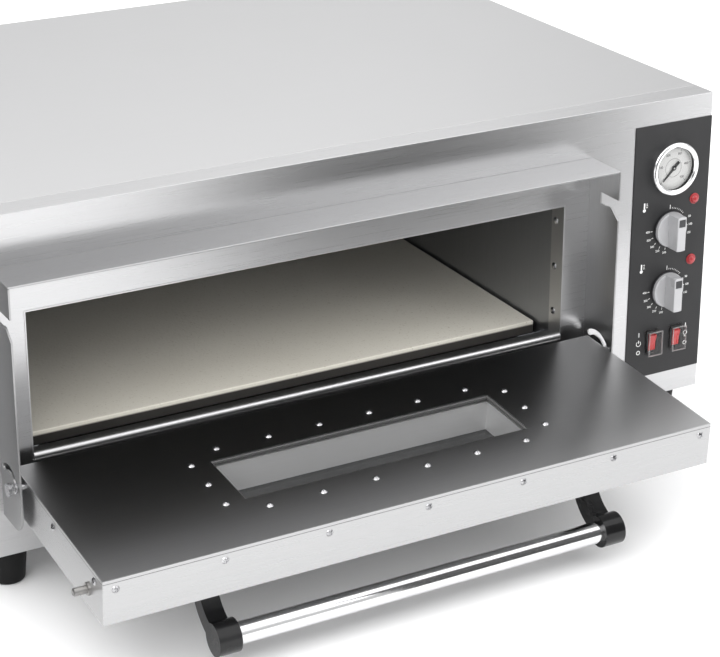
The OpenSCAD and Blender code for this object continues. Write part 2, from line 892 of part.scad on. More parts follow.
module gauge_bezel() place() color("lightgray") on_gauge() difference() {
    translate([0, 0, overlay_t]) {
        cylinder(r = gauge_r, h = gauge_front - overlay_t - 2);
        translate([0, 0, gauge_front - overlay_t - 2 - eps])
            cylinder(r1 = gauge_r, r2 = gauge_r - 2, h = 2);
    }
    translate([0, 0, -1]) cylinder(r = gauge_case_r + fit_gap, h = gauge_front - gauge_wall + 1);
    cylinder(r = gauge_case_r - gauge_lip, h = gauge_front + 1);
}

module gauge_dial() place() color("white") on_gauge() {
    translate([0, 0, gauge_ledge]) cylinder(r = gauge_case_r - gauge_wall - fit_gap, h = 1);
    cylinder(d = gauge_pin_d, h = gauge_ledge + 1 + 1.6 + needle_t);
}

module gauge_glass() place() color("lightcyan") on_gauge() {
    translate([0, 0, gauge_case_front]) cylinder(r = gauge_case_r, h = gauge_glass_t);
}

module gauge_needle() place() color("black") on_gauge() {
    translate([0, 0, gauge_ledge + 1 + 0.8]) difference() {
        union() {
            cylinder(d = 6, h = needle_t);
            rotate(needle_start) linear_extrude(needle_t)
                polygon([[-1.4, 0], [-0.4, gauge_case_r * 0.74], [0.4, gauge_case_r * 0.74], [1.4, 0],
                         [1.8, -gauge_case_r * 0.34], [-1.8, -gauge_case_r * 0.34]]);
        }
        translate([0, 0, -1]) cylinder(d = gauge_pin_d + 2 * running_gap, h = needle_t + 2);
    }
}

module thermostat(z) place() color("gray") {
    difference() {
        translate([control_x, 0, z])
            block([-thermostat_w / 2, sheet, -thermostat_w / 2],
                  [thermostat_w / 2, sheet + thermostat_d, thermostat_w / 2]);
        translate([control_x, 0, z]) rod_y(spindle_d + 2 * running_gap, 0, sheet + thermostat_bore);
        for (lens_z = lens_zs) translate([lens_x, 0, lens_z])
            rod_y(indicator_body_d + 2, 0, indicator_body_l + 2);
    }
}

module thermostat_upper() thermostat(knob_zs[0]);
module thermostat_lower() thermostat(knob_zs[1]);

// A knob with its spindle: a disc with a tall grip bar across it
module knob(z) place() color("silver") translate([control_x, 0, z]) {
    back = overlay_t + knob_gap;
    rod_y(knob_d, -back - knob_disc_t, -back);
    intersection() {
        rod_y(knob_d, -back - knob_disc_t - grip_h, -back - knob_disc_t + eps);
        block([-grip_w / 2, -back - knob_disc_t - grip_h, -knob_d], [grip_w / 2, -back, knob_d]);
    }
    rod_y(spindle_d, -back - eps, sheet + thermostat_bore - 1);
}

module knob_upper() knob(knob_zs[0]);
module knob_lower() knob(knob_zs[1]);

module indicator(z) place() color("red") translate([lens_x, 0, z]) {
    rod_y(indicator_body_d, -overlay_t - eps, indicator_body_l);
    intersection() {
        rod_y(lens_d, -overlay_t - lens_h, -overlay_t);
        translate([0, -overlay_t - lens_h + lens_d * 0.6, 0]) sphere(d = lens_d * 1.2);
    }
}

module indicator_upper() indicator(lens_zs[0]);
module indicator_lower() indicator(lens_zs[1]);

// Half the width and half the height of a switch, less an inset all round
function switch_half(inset) = [switch_w / 2 - inset, switch_h / 2 - inset];
switch_body_inset = switch_rim / 2 + fit_gap;
switch_pocket_inset = switch_rim + 0.8;

module switch_block(inset, y0, y1) {
    half = switch_half(inset);
    block([-half[0], y0, -half[1]], [half[0], y1, half[1]]);
}

module switch_housing(x) place() color([0.1, 0.1, 0.1]) translate([x, 0, switch_z]) {
    axle_half = switch_half(switch_body_inset)[0] - 0.5;
    difference() {
        union() {
            switch_block(0, -overlay_t - switch_rim_t, -overlay_t);
            switch_block(switch_body_inset, -overlay_t - eps, switch_body_d);
        }
        switch_block(switch_pocket_inset, -overlay_t - switch_rim_t - 1, switch_body_d - 8);
        translate([0, rocker_pivot_y, 0])
            rod_x(rocker_axle_d + 2 * running_gap, -axle_half, axle_half);
    }
}

module power_switch_housing() switch_housing(switch_xs[0]);
module lamp_switch_housing() switch_housing(switch_xs[1]);

// A rocker drawn from its side, with its lower, off half pressed in
module rocker(x) place() color("red") translate([x, rocker_pivot_y, switch_z]) {
    half_w_in = switch_half(switch_pocket_inset + rocker_gap)[0];
    half_h = switch_half(switch_pocket_inset + rocker_gap)[1] - 0.5;
    top = rocker_pivot_y + overlay_t + switch_rim_t;
    rotate([rocker_tilt, 0, 0]) {
        side_sheet(-half_w_in, 2 * half_w_in) difference() {
            translate([-top - 1, -half_h]) square([top + 1 + rocker_axle_d, 2 * half_h]);
            for (side = [-1, 1]) scale([1, side]) polygon([
                [-top - 2, -eps], [-top + 0.2, 0], [-top - 1, half_h + 1], [-top - 2, half_h + 1]
            ]);
            for (side = [-1, 1]) scale([1, side])
                polygon([[rocker_axle_d + 1, 3], [rocker_axle_d + 1, half_h + 1], [-3, half_h + 1], [0, 3]]);
        }
        rod_x(rocker_axle_d, -half_w_in - rocker_gap - 0.8, half_w_in + rocker_gap + 0.8);
    }
}

module power_rocker() rocker(switch_xs[0]);
module lamp_rocker() rocker(switch_xs[1]);

module switch_cover(x) place() color("lightpink") translate([x, 0, switch_z]) difference() {
    w = switch_w / 2 + cover_gap;
    h = switch_h / 2 + cover_gap;
    block([-w - cover_t, -overlay_t - cover_h, -h - cover_t], [w + cover_t, -overlay_t, h + cover_t]);
    block([-w, -overlay_t - cover_h + cover_t, -h], [w, 1, h]);
}

module power_switch_cover() switch_cover(switch_xs[0]);
module lamp_switch_cover() switch_cover(switch_xs[1]);

// Sensing bulbs: [start x, start y, run y, end z, start z] of each capillary
probes = [
    [control_x, gauge_back, liner_back - 20, liner_roof - 34, gauge_z],
    [control_x + 8, sheet + thermostat_d, liner_back - 40, liner_roof - 34, knob_zs[0] + 6],
    [control_x + 8, sheet + thermostat_d, liner_back - 20, liner_floor + 13, knob_zs[1] - 6]
];
module temperature_probes() place() color("peru") {
    for (p = probes) {
        translate([p[0], 0, p[4]]) rod_y(probe_d, p[1], p[2]);
        translate([p[0], p[2], min(p[3], p[4])]) cylinder(d = probe_d, h = abs(p[3] - p[4]));
        for (z = [p[3], p[4]]) translate([p[0], p[2], z]) sphere(d = probe_d);
        translate([0, p[2], p[3]]) {
            rod_x(probe_d, liner_right - sheet - probe_bulb_l - 1, p[0]);
            rod_x(probe_bulb_d, liner_right - sheet - 2 * probe_bulb_l, liner_right - sheet - probe_bulb_l);
            rod_x(probe_bush_d, liner_right - sheet - probe_bush_t, liner_right - sheet);
        }
    }
}

// ---- Inlet, terminals and feet ----

module terminal_block() place() color("ivory") {
    low = [divider_x + sheet + terminal_gap[0], body_d - terminal_gap[1] - terminal_size[1], sheet];
    difference() {
        block(low, low + terminal_size);
        for (i = [0 : terminal_count - 1])
            translate(low + [
                terminal_size[0] / 2,
                terminal_size[1] / 2 + (i - (terminal_count - 1) / 2) * terminal_pitch,
                terminal_size[2] - terminal_well[1]
            ]) cylinder(d = terminal_well[0], h = terminal_well[1] + 1);
    }
}

module cable_gland() place() color([0.1, 0.1, 0.1]) translate([gland_x, 0, gland_z]) difference() {
    union() {
        rod_y(gland_neck_d - 2 * fit_gap, body_d - gland_in, body_d + gland_out);
        rod_y(gland_d, body_d, body_d + gland_out);
        translate([0, body_d, 0]) rotate([-90, 0, 0]) cylinder(d = gland_nut_d, h = gland_nut_t, $fn = 6);
        translate([0, body_d - sheet - gland_nut_t, 0]) rotate([-90, 0, 0])
            cylinder(d = gland_nut_d, h = gland_nut_t, $fn = 6);
    }
    rod_y(gland_bore, body_d - gland_in - 1, body_d + gland_out + 1);
}

function foot_ys() = [foot_inset, body_d - foot_inset];

module foot_pair(y) place() color([0.1, 0.1, 0.1]) {
    for (side = [-1, 1]) translate([side * (half_w - foot_inset), y, 0]) difference() {
        rotate_extrude() polygon([
            [0, 0], [foot_d / 2, 0], [foot_d / 2, -foot_edge],
            [foot_d / 2 - foot_edge, -foot_h + foot_round],
            [foot_d / 2 - foot_taper, -foot_h], [0, -foot_h]
        ]);
        translate([0, 0, -foot_bore]) cylinder(d = screw_hole, h = foot_bore + 1);
    }
}

module front_feet() foot_pair(foot_ys()[0]);
module rear_feet() foot_pair(foot_ys()[1]);

module casing_screws() place() color("silver") {
    for (p = rear_screws()) translate([p[0], body_d, p[1]]) rotate([-90, 0, 0]) screw(sheet);
    for (side = [-1, 1], z = jamb_screw_zs())
        translate([chamber_x + side * opening_w / 2, frame_depth - 8, z]) rotate([0, -side * 90, 0])
            screw(2 * sheet);
    for (side = [-1, 1], y = foot_ys())
        translate([side * (half_w - foot_inset), y, sheet]) screw(foot_screw_l);
}

// ---- Assembly ----

front_panel();
top_cover();
left_side_panel();
right_side_panel();
rear_panel();
base_pan();
hood();
hinge_plate_left();
hinge_plate_right();
chamber_frame();
chamber_liner();
baking_stone();
stone_rails();
upper_element();
lower_element();
insulation();
divider_panel();
lamp_housing();
lamp_bulb();
lamp_glass();
control_overlay();
gauge_case();
gauge_bezel();
gauge_dial();
gauge_glass();
gauge_needle();
thermostat_upper();
thermostat_lower();
temperature_probes();
indicator_upper();
indicator_lower();
power_switch_housing();
lamp_switch_housing();
power_switch_cover();
lamp_switch_cover();
power_rocker();
lamp_rocker();
knob_upper();
knob_lower();
terminal_block();
cable_gland();
front_feet();
rear_feet();
casing_screws();
hinge_pins();
door_shell();
door_pan();
door_insulation();
window_well();
window_gasket();
inner_glass();
outer_glass();
door_screws();
hinge_blocks();
latch_pins();
stop_screws();
handle_bracket_left();
handle_bracket_right();
handle_tube();
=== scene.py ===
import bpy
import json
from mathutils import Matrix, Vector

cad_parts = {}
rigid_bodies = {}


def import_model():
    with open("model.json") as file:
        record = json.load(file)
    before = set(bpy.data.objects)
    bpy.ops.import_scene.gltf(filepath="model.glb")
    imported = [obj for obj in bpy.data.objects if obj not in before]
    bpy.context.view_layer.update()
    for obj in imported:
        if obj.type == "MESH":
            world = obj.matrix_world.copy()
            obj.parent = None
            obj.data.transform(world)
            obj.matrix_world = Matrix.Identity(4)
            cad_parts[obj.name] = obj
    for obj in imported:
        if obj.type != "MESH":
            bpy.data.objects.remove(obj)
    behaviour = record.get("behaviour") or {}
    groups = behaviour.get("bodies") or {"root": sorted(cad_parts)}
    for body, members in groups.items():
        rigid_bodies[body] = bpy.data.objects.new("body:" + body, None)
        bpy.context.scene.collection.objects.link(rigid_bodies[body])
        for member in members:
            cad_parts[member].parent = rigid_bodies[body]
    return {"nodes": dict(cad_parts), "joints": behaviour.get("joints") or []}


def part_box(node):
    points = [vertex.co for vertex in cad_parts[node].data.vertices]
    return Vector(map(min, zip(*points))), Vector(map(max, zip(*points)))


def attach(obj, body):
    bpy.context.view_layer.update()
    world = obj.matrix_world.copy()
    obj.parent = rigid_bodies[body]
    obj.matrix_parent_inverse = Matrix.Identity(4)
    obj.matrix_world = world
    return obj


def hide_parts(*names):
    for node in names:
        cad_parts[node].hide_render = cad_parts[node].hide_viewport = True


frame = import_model()

"""Studio model of a countertop deck oven: its sheet-metal casing, stone chamber, drop-down door and controls."""

import json
import logging
import math
from contextlib import contextmanager
from dataclasses import dataclass, field
from enum import Enum
from typing import Callable, Iterator, Sequence

import bpy
from mathutils import Matrix, Vector

log = logging.getLogger("deck_oven")
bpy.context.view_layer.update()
MM = 0.001
OVERLAY_FACE = 1 * MM
PRINT_DEPTH = 0.15 * MM
Triple = tuple[float, float, float]


# ---------------------------------------------------------------- finishes


class Grain(Enum):
    """The direction in which a sheet was brushed."""

    ALONG_X = (5.0, 1300.0, 1300.0)
    ALONG_Y = (1300.0, 9.0, 1300.0)
    ALONG_Z = (1300.0, 1300.0, 9.0)


class NodeBoard:
    """The node tree of one material, with a method for each kind of node that the finishes use."""

    def __init__(self, name: str) -> None:
        """Starts an empty material with its shader and output.

        Args:
            name: The material's name.
        """
        self.material = bpy.data.materials.new(name)
        self.material.use_nodes = True
        self.tree = self.material.node_tree
        self.tree.nodes.clear()
        self.output = self.tree.nodes.new("ShaderNodeOutputMaterial")
        self.shader = self.tree.nodes.new("ShaderNodeBsdfPrincipled")
        self.link(self.shader.outputs["BSDF"], self.output.inputs["Surface"])
        self.coords = self.tree.nodes.new("ShaderNodeTexCoord").outputs["Object"]

    def link(self, source: bpy.types.NodeSocket, target: bpy.types.NodeSocket) -> None:
        """Joins two sockets."""
        self.tree.links.new(source, target)

    def mapped(self, scale: Triple, place: Triple = (0.0, 0.0, 0.0)) -> bpy.types.NodeSocket:
        """Scales the object's coordinates.

        Args:
            scale: Factors along X, Y and Z.
            place: Offset after scaling.

        Returns:
            The vector socket.
        """
        node = self.tree.nodes.new("ShaderNodeMapping")
        node.inputs["Scale"].default_value = scale
        node.inputs["Location"].default_value = place
        self.link(self.coords, node.inputs["Vector"])
        return node.outputs["Vector"]

    def noise(self, vector: bpy.types.NodeSocket, scale: float, detail: float = 3.0) -> bpy.types.NodeSocket:
        """Adds a noise texture.

        Args:
            vector: Where it is read.
            scale: Its frequency.
            detail: Its octaves.

        Returns:
            The value socket.
        """
        node = self.tree.nodes.new("ShaderNodeTexNoise")
        node.inputs["Scale"].default_value = scale
        node.inputs["Detail"].default_value = detail
        self.link(vector, node.inputs["Vector"])
        return node.outputs["Fac"]

    def cells(self, vector: bpy.types.NodeSocket, scale: float) -> bpy.types.NodeSocket:
        """Adds a cellular texture and returns its distance socket."""
        node = self.tree.nodes.new("ShaderNodeTexVoronoi")
        node.inputs["Scale"].default_value = scale
        self.link(vector, node.inputs["Vector"])
        return node.outputs["Distance"]

    def bands(self, vector: bpy.types.NodeSocket, scale: float, turned: str = "DIAGONAL") -> bpy.types.NodeSocket:
        """Adds a wave texture and returns its value socket."""
        node = self.tree.nodes.new("ShaderNodeTexWave")
        node.bands_direction = turned
        node.inputs["Scale"].default_value = scale
        node.inputs["Distortion"].default_value = 0.6
        self.link(vector, node.inputs["Vector"])
        return node.outputs["Fac"]

    def ramp(self, value: bpy.types.NodeSocket, stops: Sequence[tuple[float, Triple]]) -> bpy.types.NodeSocket:
        """Turns a value into a colour.

        Args:
            value: The value socket.
            stops: Pairs of position and colour, at least two.

        Returns:
            The colour socket.
        """
        node = self.tree.nodes.new("ShaderNodeValToRGB")
        band = node.color_ramp.elements
        while len(band) < len(stops):
            band.new(0.5)
        for element, (place, colour) in zip(band, stops):
            element.position = place
            element.color = (*colour, 1.0)
        self.link(value, node.inputs["Fac"])
        return node.outputs["Color"]

    def ranged(self, value: bpy.types.NodeSocket, low: float, high: float) -> bpy.types.NodeSocket:
        """Maps the middle of a noise's values to low … high and returns the socket."""
        node = self.tree.nodes.new("ShaderNodeMapRange")
        for name, number in (("From Min", 0.3), ("From Max", 0.7), ("To Min", low), ("To Max", high)):
            node.inputs[name].default_value = number
        self.link(value, node.inputs["Value"])
        return node.outputs["Result"]

    def mixed(self, share: bpy.types.NodeSocket, first: bpy.types.NodeSocket,
              second: bpy.types.NodeSocket) -> bpy.types.NodeSocket:
        """Mixes two colours by a share and returns the socket."""
        node = self.tree.nodes.new("ShaderNodeMix")
        node.data_type = "RGBA"
        self.link(share, node.inputs["Factor"])
        self.link(first, node.inputs["A"])
        self.link(second, node.inputs["B"])
        return next(o for o in node.outputs if o.type == "RGBA")

    def relief(self, height: bpy.types.NodeSocket, strength: float, depth: float) -> None:
        """Bumps the surface by a value.

        Args:
            height: The value socket.
            strength: How much of the bump shows.
            depth: Its depth in metres.
        """
        node = self.tree.nodes.new("ShaderNodeBump")
        node.inputs["Strength"].default_value = strength
        node.inputs["Distance"].default_value = depth
        self.link(height, node.inputs["Height"])
        self.link(node.outputs["Normal"], self.shader.inputs["Normal"])

    def set(self, **numbers: float | tuple) -> None:
        """Sets plain values on the shader's sockets, each named with _ for a space."""
        for name, number in numbers.items():
            self.shader.inputs[name.replace("_", " ")].default_value = number


@dataclass(frozen=True)
class BrushedSteel:
    """Stainless sheet with a brushed grain, faint smudges and a little variation in its sheen."""

    name: str
    light: Triple = (0.56, 0.56, 0.565)
    dark: Triple = (0.46, 0.46, 0.465)
    smooth: float = 0.25
    rough: float = 0.34
    grain: Grain = Grain.ALONG_X
    relief: float = 0.03
    smudge: float = 5.0
    pull: float = 0.65
    metal: float = 1.0

    def material(self) -> bpy.types.Material:
        """Builds the material."""
        board = NodeBoard(self.name)
        streaks = board.noise(board.mapped(self.grain.value), 2.0, 5.0)
        cloud = board.noise(board.mapped((1.0, 1.0, 1.0)), self.smudge, 4.0)
        mid = tuple((a + b) / 2 for a, b in zip(self.light, self.dark))
        fine = board.ramp(streaks, [(0.36, self.dark), (0.64, self.light)])
        broad = board.ramp(cloud, [(0.35, mid), (0.65, self.light)])
        half = board.ranged(cloud, 0.15, 0.35)
        board.link(board.mixed(half, fine, broad), board.shader.inputs["Base Color"])
        board.link(board.ranged(streaks, self.smooth, self.rough), board.shader.inputs["Roughness"])
        board.relief(streaks, self.relief, 0.0004)
        along = board.tree.nodes.new("ShaderNodeTangent")
        along.direction_type = "UV_MAP"
        along.uv_map = "brushing"
        board.link(along.outputs["Tangent"], board.shader.inputs["Tangent"])
        board.set(Metallic=self.metal, Anisotropic=self.pull)
        return board.material


@dataclass(frozen=True)
class PlainMetal:
    """Turned, plated or drawn metal with fine scratches."""

    name: str
    light: Triple
    dark: Triple
    smooth: float = 0.12
    rough: float = 0.26
    scale: float = 260.0
    relief: float = 0.04

    def material(self) -> bpy.types.Material:
        """Builds the material."""
        board = NodeBoard(self.name)
        grit = board.noise(board.mapped((1.0, 1.0, 1.0)), self.scale, 4.0)
        cloud = board.noise(board.mapped((1.0, 1.0, 1.0)), self.scale / 12, 3.0)
        board.link(board.ramp(cloud, [(0.35, self.dark), (0.65, self.light)]), board.shader.inputs["Base Color"])
        board.link(board.ranged(grit, self.smooth, self.rough), board.shader.inputs["Roughness"])
        board.relief(grit, self.relief, 0.0003)
        board.set(Metallic=1.0)
        return board.material


@dataclass(frozen=True)
class Moulded:
    """Moulded plastic, rubber or paint with a fine texture."""

    name: str
    light: Triple
    dark: Triple
    smooth: float = 0.30
    rough: float = 0.48
    scale: float = 900.0
    relief: float = 0.12
    coat: float = 0.0
    gloss: float = 0.5

    def material(self) -> bpy.types.Material:
        """Builds the material."""
        board = NodeBoard(self.name)
        grit = board.noise(board.mapped((1.0, 1.0, 1.0)), self.scale, 3.0)
        cloud = board.noise(board.mapped((1.0, 1.0, 1.0)), 28.0, 4.0)
        board.link(board.ramp(cloud, [(0.32, self.dark), (0.68, self.light)]), board.shader.inputs["Base Color"])
        board.link(board.ranged(cloud, self.smooth, self.rough), board.shader.inputs["Roughness"])
        board.relief(grit, self.relief, 0.0003)
        board.set(Coat_Weight=self.coat, Coat_Roughness=0.08, Specular_IOR_Level=self.gloss)
        return board.material


@dataclass(frozen=True)
class Firestone:
    """Pressed refractory stone: a pale, open-grained top with a toasted haze, and painted shade that turns its faces
    near black below a line just under the top.
    """

    name: str
    pale: Triple = (0.90, 0.865, 0.77)
    warm: Triple = (0.85, 0.81, 0.71)
    speck: Triple = (0.74, 0.69, 0.59)
    # Painted shade: a near-black colour and the height below which the stone's faces take it, standing in for the shade
    # on the stone's front face.
    painted_shade: Triple = (0.030, 0.028, 0.026)
    painted_shade_height: float = 0.0

    def material(self) -> bpy.types.Material:
        """Builds the material."""
        board = NodeBoard(self.name)
        plain = board.mapped((1.0, 1.0, 1.0))
        haze = board.noise(plain, 3.2, 5.0)
        grit = board.noise(plain, 420.0, 4.0)
        grains = board.cells(plain, 330.0)
        body = board.ramp(haze, [(0.34, self.warm), (0.62, self.pale)])
        specks = board.ramp(grit, [(0.30, self.speck), (0.38, self.warm)])
        unshaded_stone = board.mixed(board.ramp(grit, [(0.33, (0.0, 0.0, 0.0)), (0.42, (1.0, 1.0, 1.0))]), specks, body)
        # Painted shade: within 1 mm either side of the shade height, the colour turns from the stone's own above to
        # near black below.
        split = board.tree.nodes.new("ShaderNodeSeparateXYZ")
        board.link(board.coords, split.inputs["Vector"])
        rise = board.tree.nodes.new("ShaderNodeMapRange")
        rise.inputs["From Min"].default_value = self.painted_shade_height - 1.0 * MM
        rise.inputs["From Max"].default_value = self.painted_shade_height + 1.0 * MM
        board.link(split.outputs["Z"], rise.inputs["Value"])
        shade_tone = board.ramp(haze, [(0.3, self.painted_shade), (0.7, tuple(2 * c for c in self.painted_shade))])
        board.link(board.mixed(rise.outputs["Result"], shade_tone, unshaded_stone), board.shader.inputs["Base Color"])
        board.link(board.ranged(haze, 0.78, 0.93), board.shader.inputs["Roughness"])
        board.relief(grains, 0.35, 0.0006)
        board.set(Specular_IOR_Level=0.25)
        return board.material


@dataclass(frozen=True)
class ClearSheet:
    """Glass or clear plastic with a trace of dust in its roughness."""

    name: str
    tint: Triple
    smooth: float = 0.02
    rough: float = 0.10
    ior: float = 1.48
    alpha: float = 0.16

    def material(self) -> bpy.types.Material:
        """Builds the material."""
        board = NodeBoard(self.name)
        dust = board.noise(board.mapped((1.0, 1.0, 1.0)), 60.0, 5.0)
        deeper = tuple(0.93 * c for c in self.tint)
        board.link(board.ramp(dust, [(0.35, deeper), (0.65, self.tint)]), board.shader.inputs["Base Color"])
        board.link(board.ranged(dust, self.smooth, self.rough), board.shader.inputs["Roughness"])
        board.relief(dust, 0.02, 0.0002)
        board.set(IOR=self.ior, Alpha=self.alpha, Specular_IOR_Level=0.8)
        return board.material


@dataclass(frozen=True)
class Fibre:
    """Mineral wool or braided glass fibre: matted strands over a rough body."""

    name: str
    light: Triple
    dark: Triple
    strand: float = 260.0
    braided: bool = False

    def material(self) -> bpy.types.Material:
        """Builds the material."""
        board = NodeBoard(self.name)
        plain = board.mapped((1.0, 1.0, 1.0))
        strands = board.bands(plain, self.strand) if self.braided else board.noise(
            board.mapped((1.0, 6.0, 9.0)), self.strand / 4, 8.0)
        cloud = board.noise(plain, 40.0, 4.0)
        board.link(board.ramp(strands, [(0.25, self.dark), (0.7, self.light)]), board.shader.inputs["Base Color"])
        board.link(board.ranged(cloud, 0.8, 0.95), board.shader.inputs["Roughness"])
        board.relief(strands, 0.7, 0.0008)
        board.set(Sheen_Weight=0.25, Sheen_Roughness=0.5)
        return board.material


class Palette:
    """All of the oven's finishes, each built once."""

    def __init__(self) -> None:
        """Builds every material."""
        finishes = [
            BrushedSteel("front_steel", light=(0.56, 0.56, 0.565), dark=(0.53, 0.53, 0.535), smooth=0.27, rough=0.31,
                         relief=0.003),
            BrushedSteel("top_steel", light=(0.47, 0.47, 0.473), dark=(0.455, 0.455, 0.458), smooth=0.38, rough=0.48,
                         pull=0.3),
            BrushedSteel("side_steel", grain=Grain.ALONG_Y),
            BrushedSteel("hood_steel", light=(0.45, 0.45, 0.455), dark=(0.425, 0.425, 0.43), smooth=0.27, rough=0.31,
                         relief=0.003),
            BrushedSteel("plate_steel", light=(0.40, 0.40, 0.403), dark=(0.35, 0.35, 0.352), smooth=0.30, rough=0.37,
                         grain=Grain.ALONG_Z, relief=0.01),
            BrushedSteel("frame_steel", light=(0.64, 0.64, 0.643), dark=(0.60, 0.60, 0.603), smooth=0.33, rough=0.39,
                         relief=0.002, pull=0.4),
            BrushedSteel("liner_steel", light=(0.42, 0.43, 0.45), dark=(0.35, 0.36, 0.378), smooth=0.30, rough=0.38,
                         grain=Grain.ALONG_Z, relief=0.01, smudge=9.0),
            BrushedSteel("door_steel", light=(0.47, 0.47, 0.472), dark=(0.44, 0.44, 0.444), relief=0.008),
            BrushedSteel("pan_steel", light=(0.40, 0.40, 0.402), dark=(0.375, 0.375, 0.377), smooth=0.28, rough=0.32,
                         relief=0.004),
            # Painted light: the well's steel is paler and less metallic than the other steels, standing in for the
            # light that a clear window would let onto the well's walls.
            BrushedSteel("well_steel", light=(0.78, 0.78, 0.78), dark=(0.72, 0.72, 0.725), smooth=0.3, rough=0.40,
                         relief=0.01, metal=0.40),
            PlainMetal("bright_zinc", (0.52, 0.52, 0.53), (0.40, 0.40, 0.41), 0.18, 0.32, 500.0),
            PlainMetal("dark_zinc", (0.36, 0.35, 0.34), (0.20, 0.20, 0.20), 0.25, 0.42, 400.0),
            PlainMetal("chrome", (0.84, 0.84, 0.845), (0.79, 0.79, 0.80), 0.10, 0.17, 700.0, 0.02),
            Moulded("knob_silver", (0.47, 0.47, 0.48), (0.43, 0.43, 0.44), 0.26, 0.36, 1500.0, 0.04, 0.2),
            PlainMetal("drawn_copper", (0.78, 0.44, 0.30), (0.52, 0.27, 0.18), 0.2, 0.38, 400.0),
            PlainMetal("heater_sheath", (0.20, 0.19, 0.18), (0.10, 0.09, 0.085), 0.42, 0.62, 320.0, 0.15),
            # The painted shade starts 4.5 mm under the stone's top.
            Firestone("baking_stone", painted_shade_height=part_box("baking_stone")[1].z - 4.5 * MM),
            Fibre("mineral_wool", (0.70, 0.60, 0.32), (0.45, 0.36, 0.16)),
            Fibre("braided_glass", (0.85, 0.84, 0.81), (0.04, 0.04, 0.04), 90.0, True),
            Fibre("dark_packing", (0.10, 0.10, 0.10), (0.04, 0.04, 0.04), 330.0, True),
            ClearSheet("window_glass", (0.03, 0.032, 0.032), alpha=0.08),
            ClearSheet("gauge_glass", (0.05, 0.052, 0.052), 0.0, 0.04, alpha=0.08),
            ClearSheet("splash_cover", (0.10, 0.09, 0.09), 0.04, 0.16, 1.4, 0.10),
            # Partly painted highlight: the covers' moulded rims are clear plastic, given a paler, more opaque tint that
            # stands in for the bright edges of a clear cover.
            ClearSheet("painted_cover_highlight", (0.50, 0.48, 0.48), 0.08, 0.2, 1.4, 0.40),
            # Painted shade: a near-black, mostly opaque tint for the outer glass, standing in for the shade and dark
            # reflections seen in a clear window.
            ClearSheet("painted_shade_glass", (0.040, 0.041, 0.041), 0.02, 0.08, 1.5, 0.72),
            ClearSheet("bulb_frost", (0.96, 0.94, 0.88), 0.4, 0.6, alpha=0.8),
            Moulded("panel_film", (0.030, 0.030, 0.031), (0.024, 0.024, 0.025), 0.36, 0.46, 1400.0, 0.08, gloss=0.25),
            Moulded("black_moulding", (0.009, 0.009, 0.0095), (0.006, 0.006, 0.0065), 0.20, 0.32, 800.0, 0.08,
                    0.15, 0.3),
            Moulded("black_rubber", (0.010, 0.010, 0.010), (0.006, 0.006, 0.006), 0.50, 0.68, 500.0, 0.2, gloss=0.2),
            Moulded("dial_white", (0.70, 0.70, 0.69), (0.66, 0.66, 0.65), 0.4, 0.5, 1200.0, 0.05),
            Moulded("dial_ink", (0.015, 0.015, 0.016), (0.008, 0.008, 0.009), 0.45, 0.55, 900.0, 0.05),
            Moulded("panel_ink", (0.95, 0.95, 0.94), (0.88, 0.88, 0.87), 0.45, 0.55, 900.0, 0.05),
            Moulded("lens_red", (0.40, 0.024, 0.030), (0.30, 0.014, 0.018), 0.22, 0.32, 700.0, 0.05, 0.4),
            Moulded("rocker_red", (0.66, 0.020, 0.022), (0.46, 0.010, 0.012), 0.10, 0.20, 700.0, 0.05, 0.9),
            Moulded("glazed_ceramic", (0.88, 0.86, 0.80), (0.78, 0.76, 0.70), 0.15, 0.3, 300.0, 0.08, 0.5),
            Moulded("knob_inset", (0.05, 0.05, 0.055), (0.025, 0.025, 0.028), 0.35, 0.5, 700.0, 0.1),
        ]
        self.made = {finish.name: finish.material() for finish in finishes}

    def __getitem__(self, name: str) -> bpy.types.Material:
        """Gives a material by its finish's name."""
        return self.made[name]


# ---------------------------------------------------------------- the bench


def deselect() -> None:
    """Deselects everything."""
    for thing in bpy.context.view_layer.objects:
        thing.select_set(False)


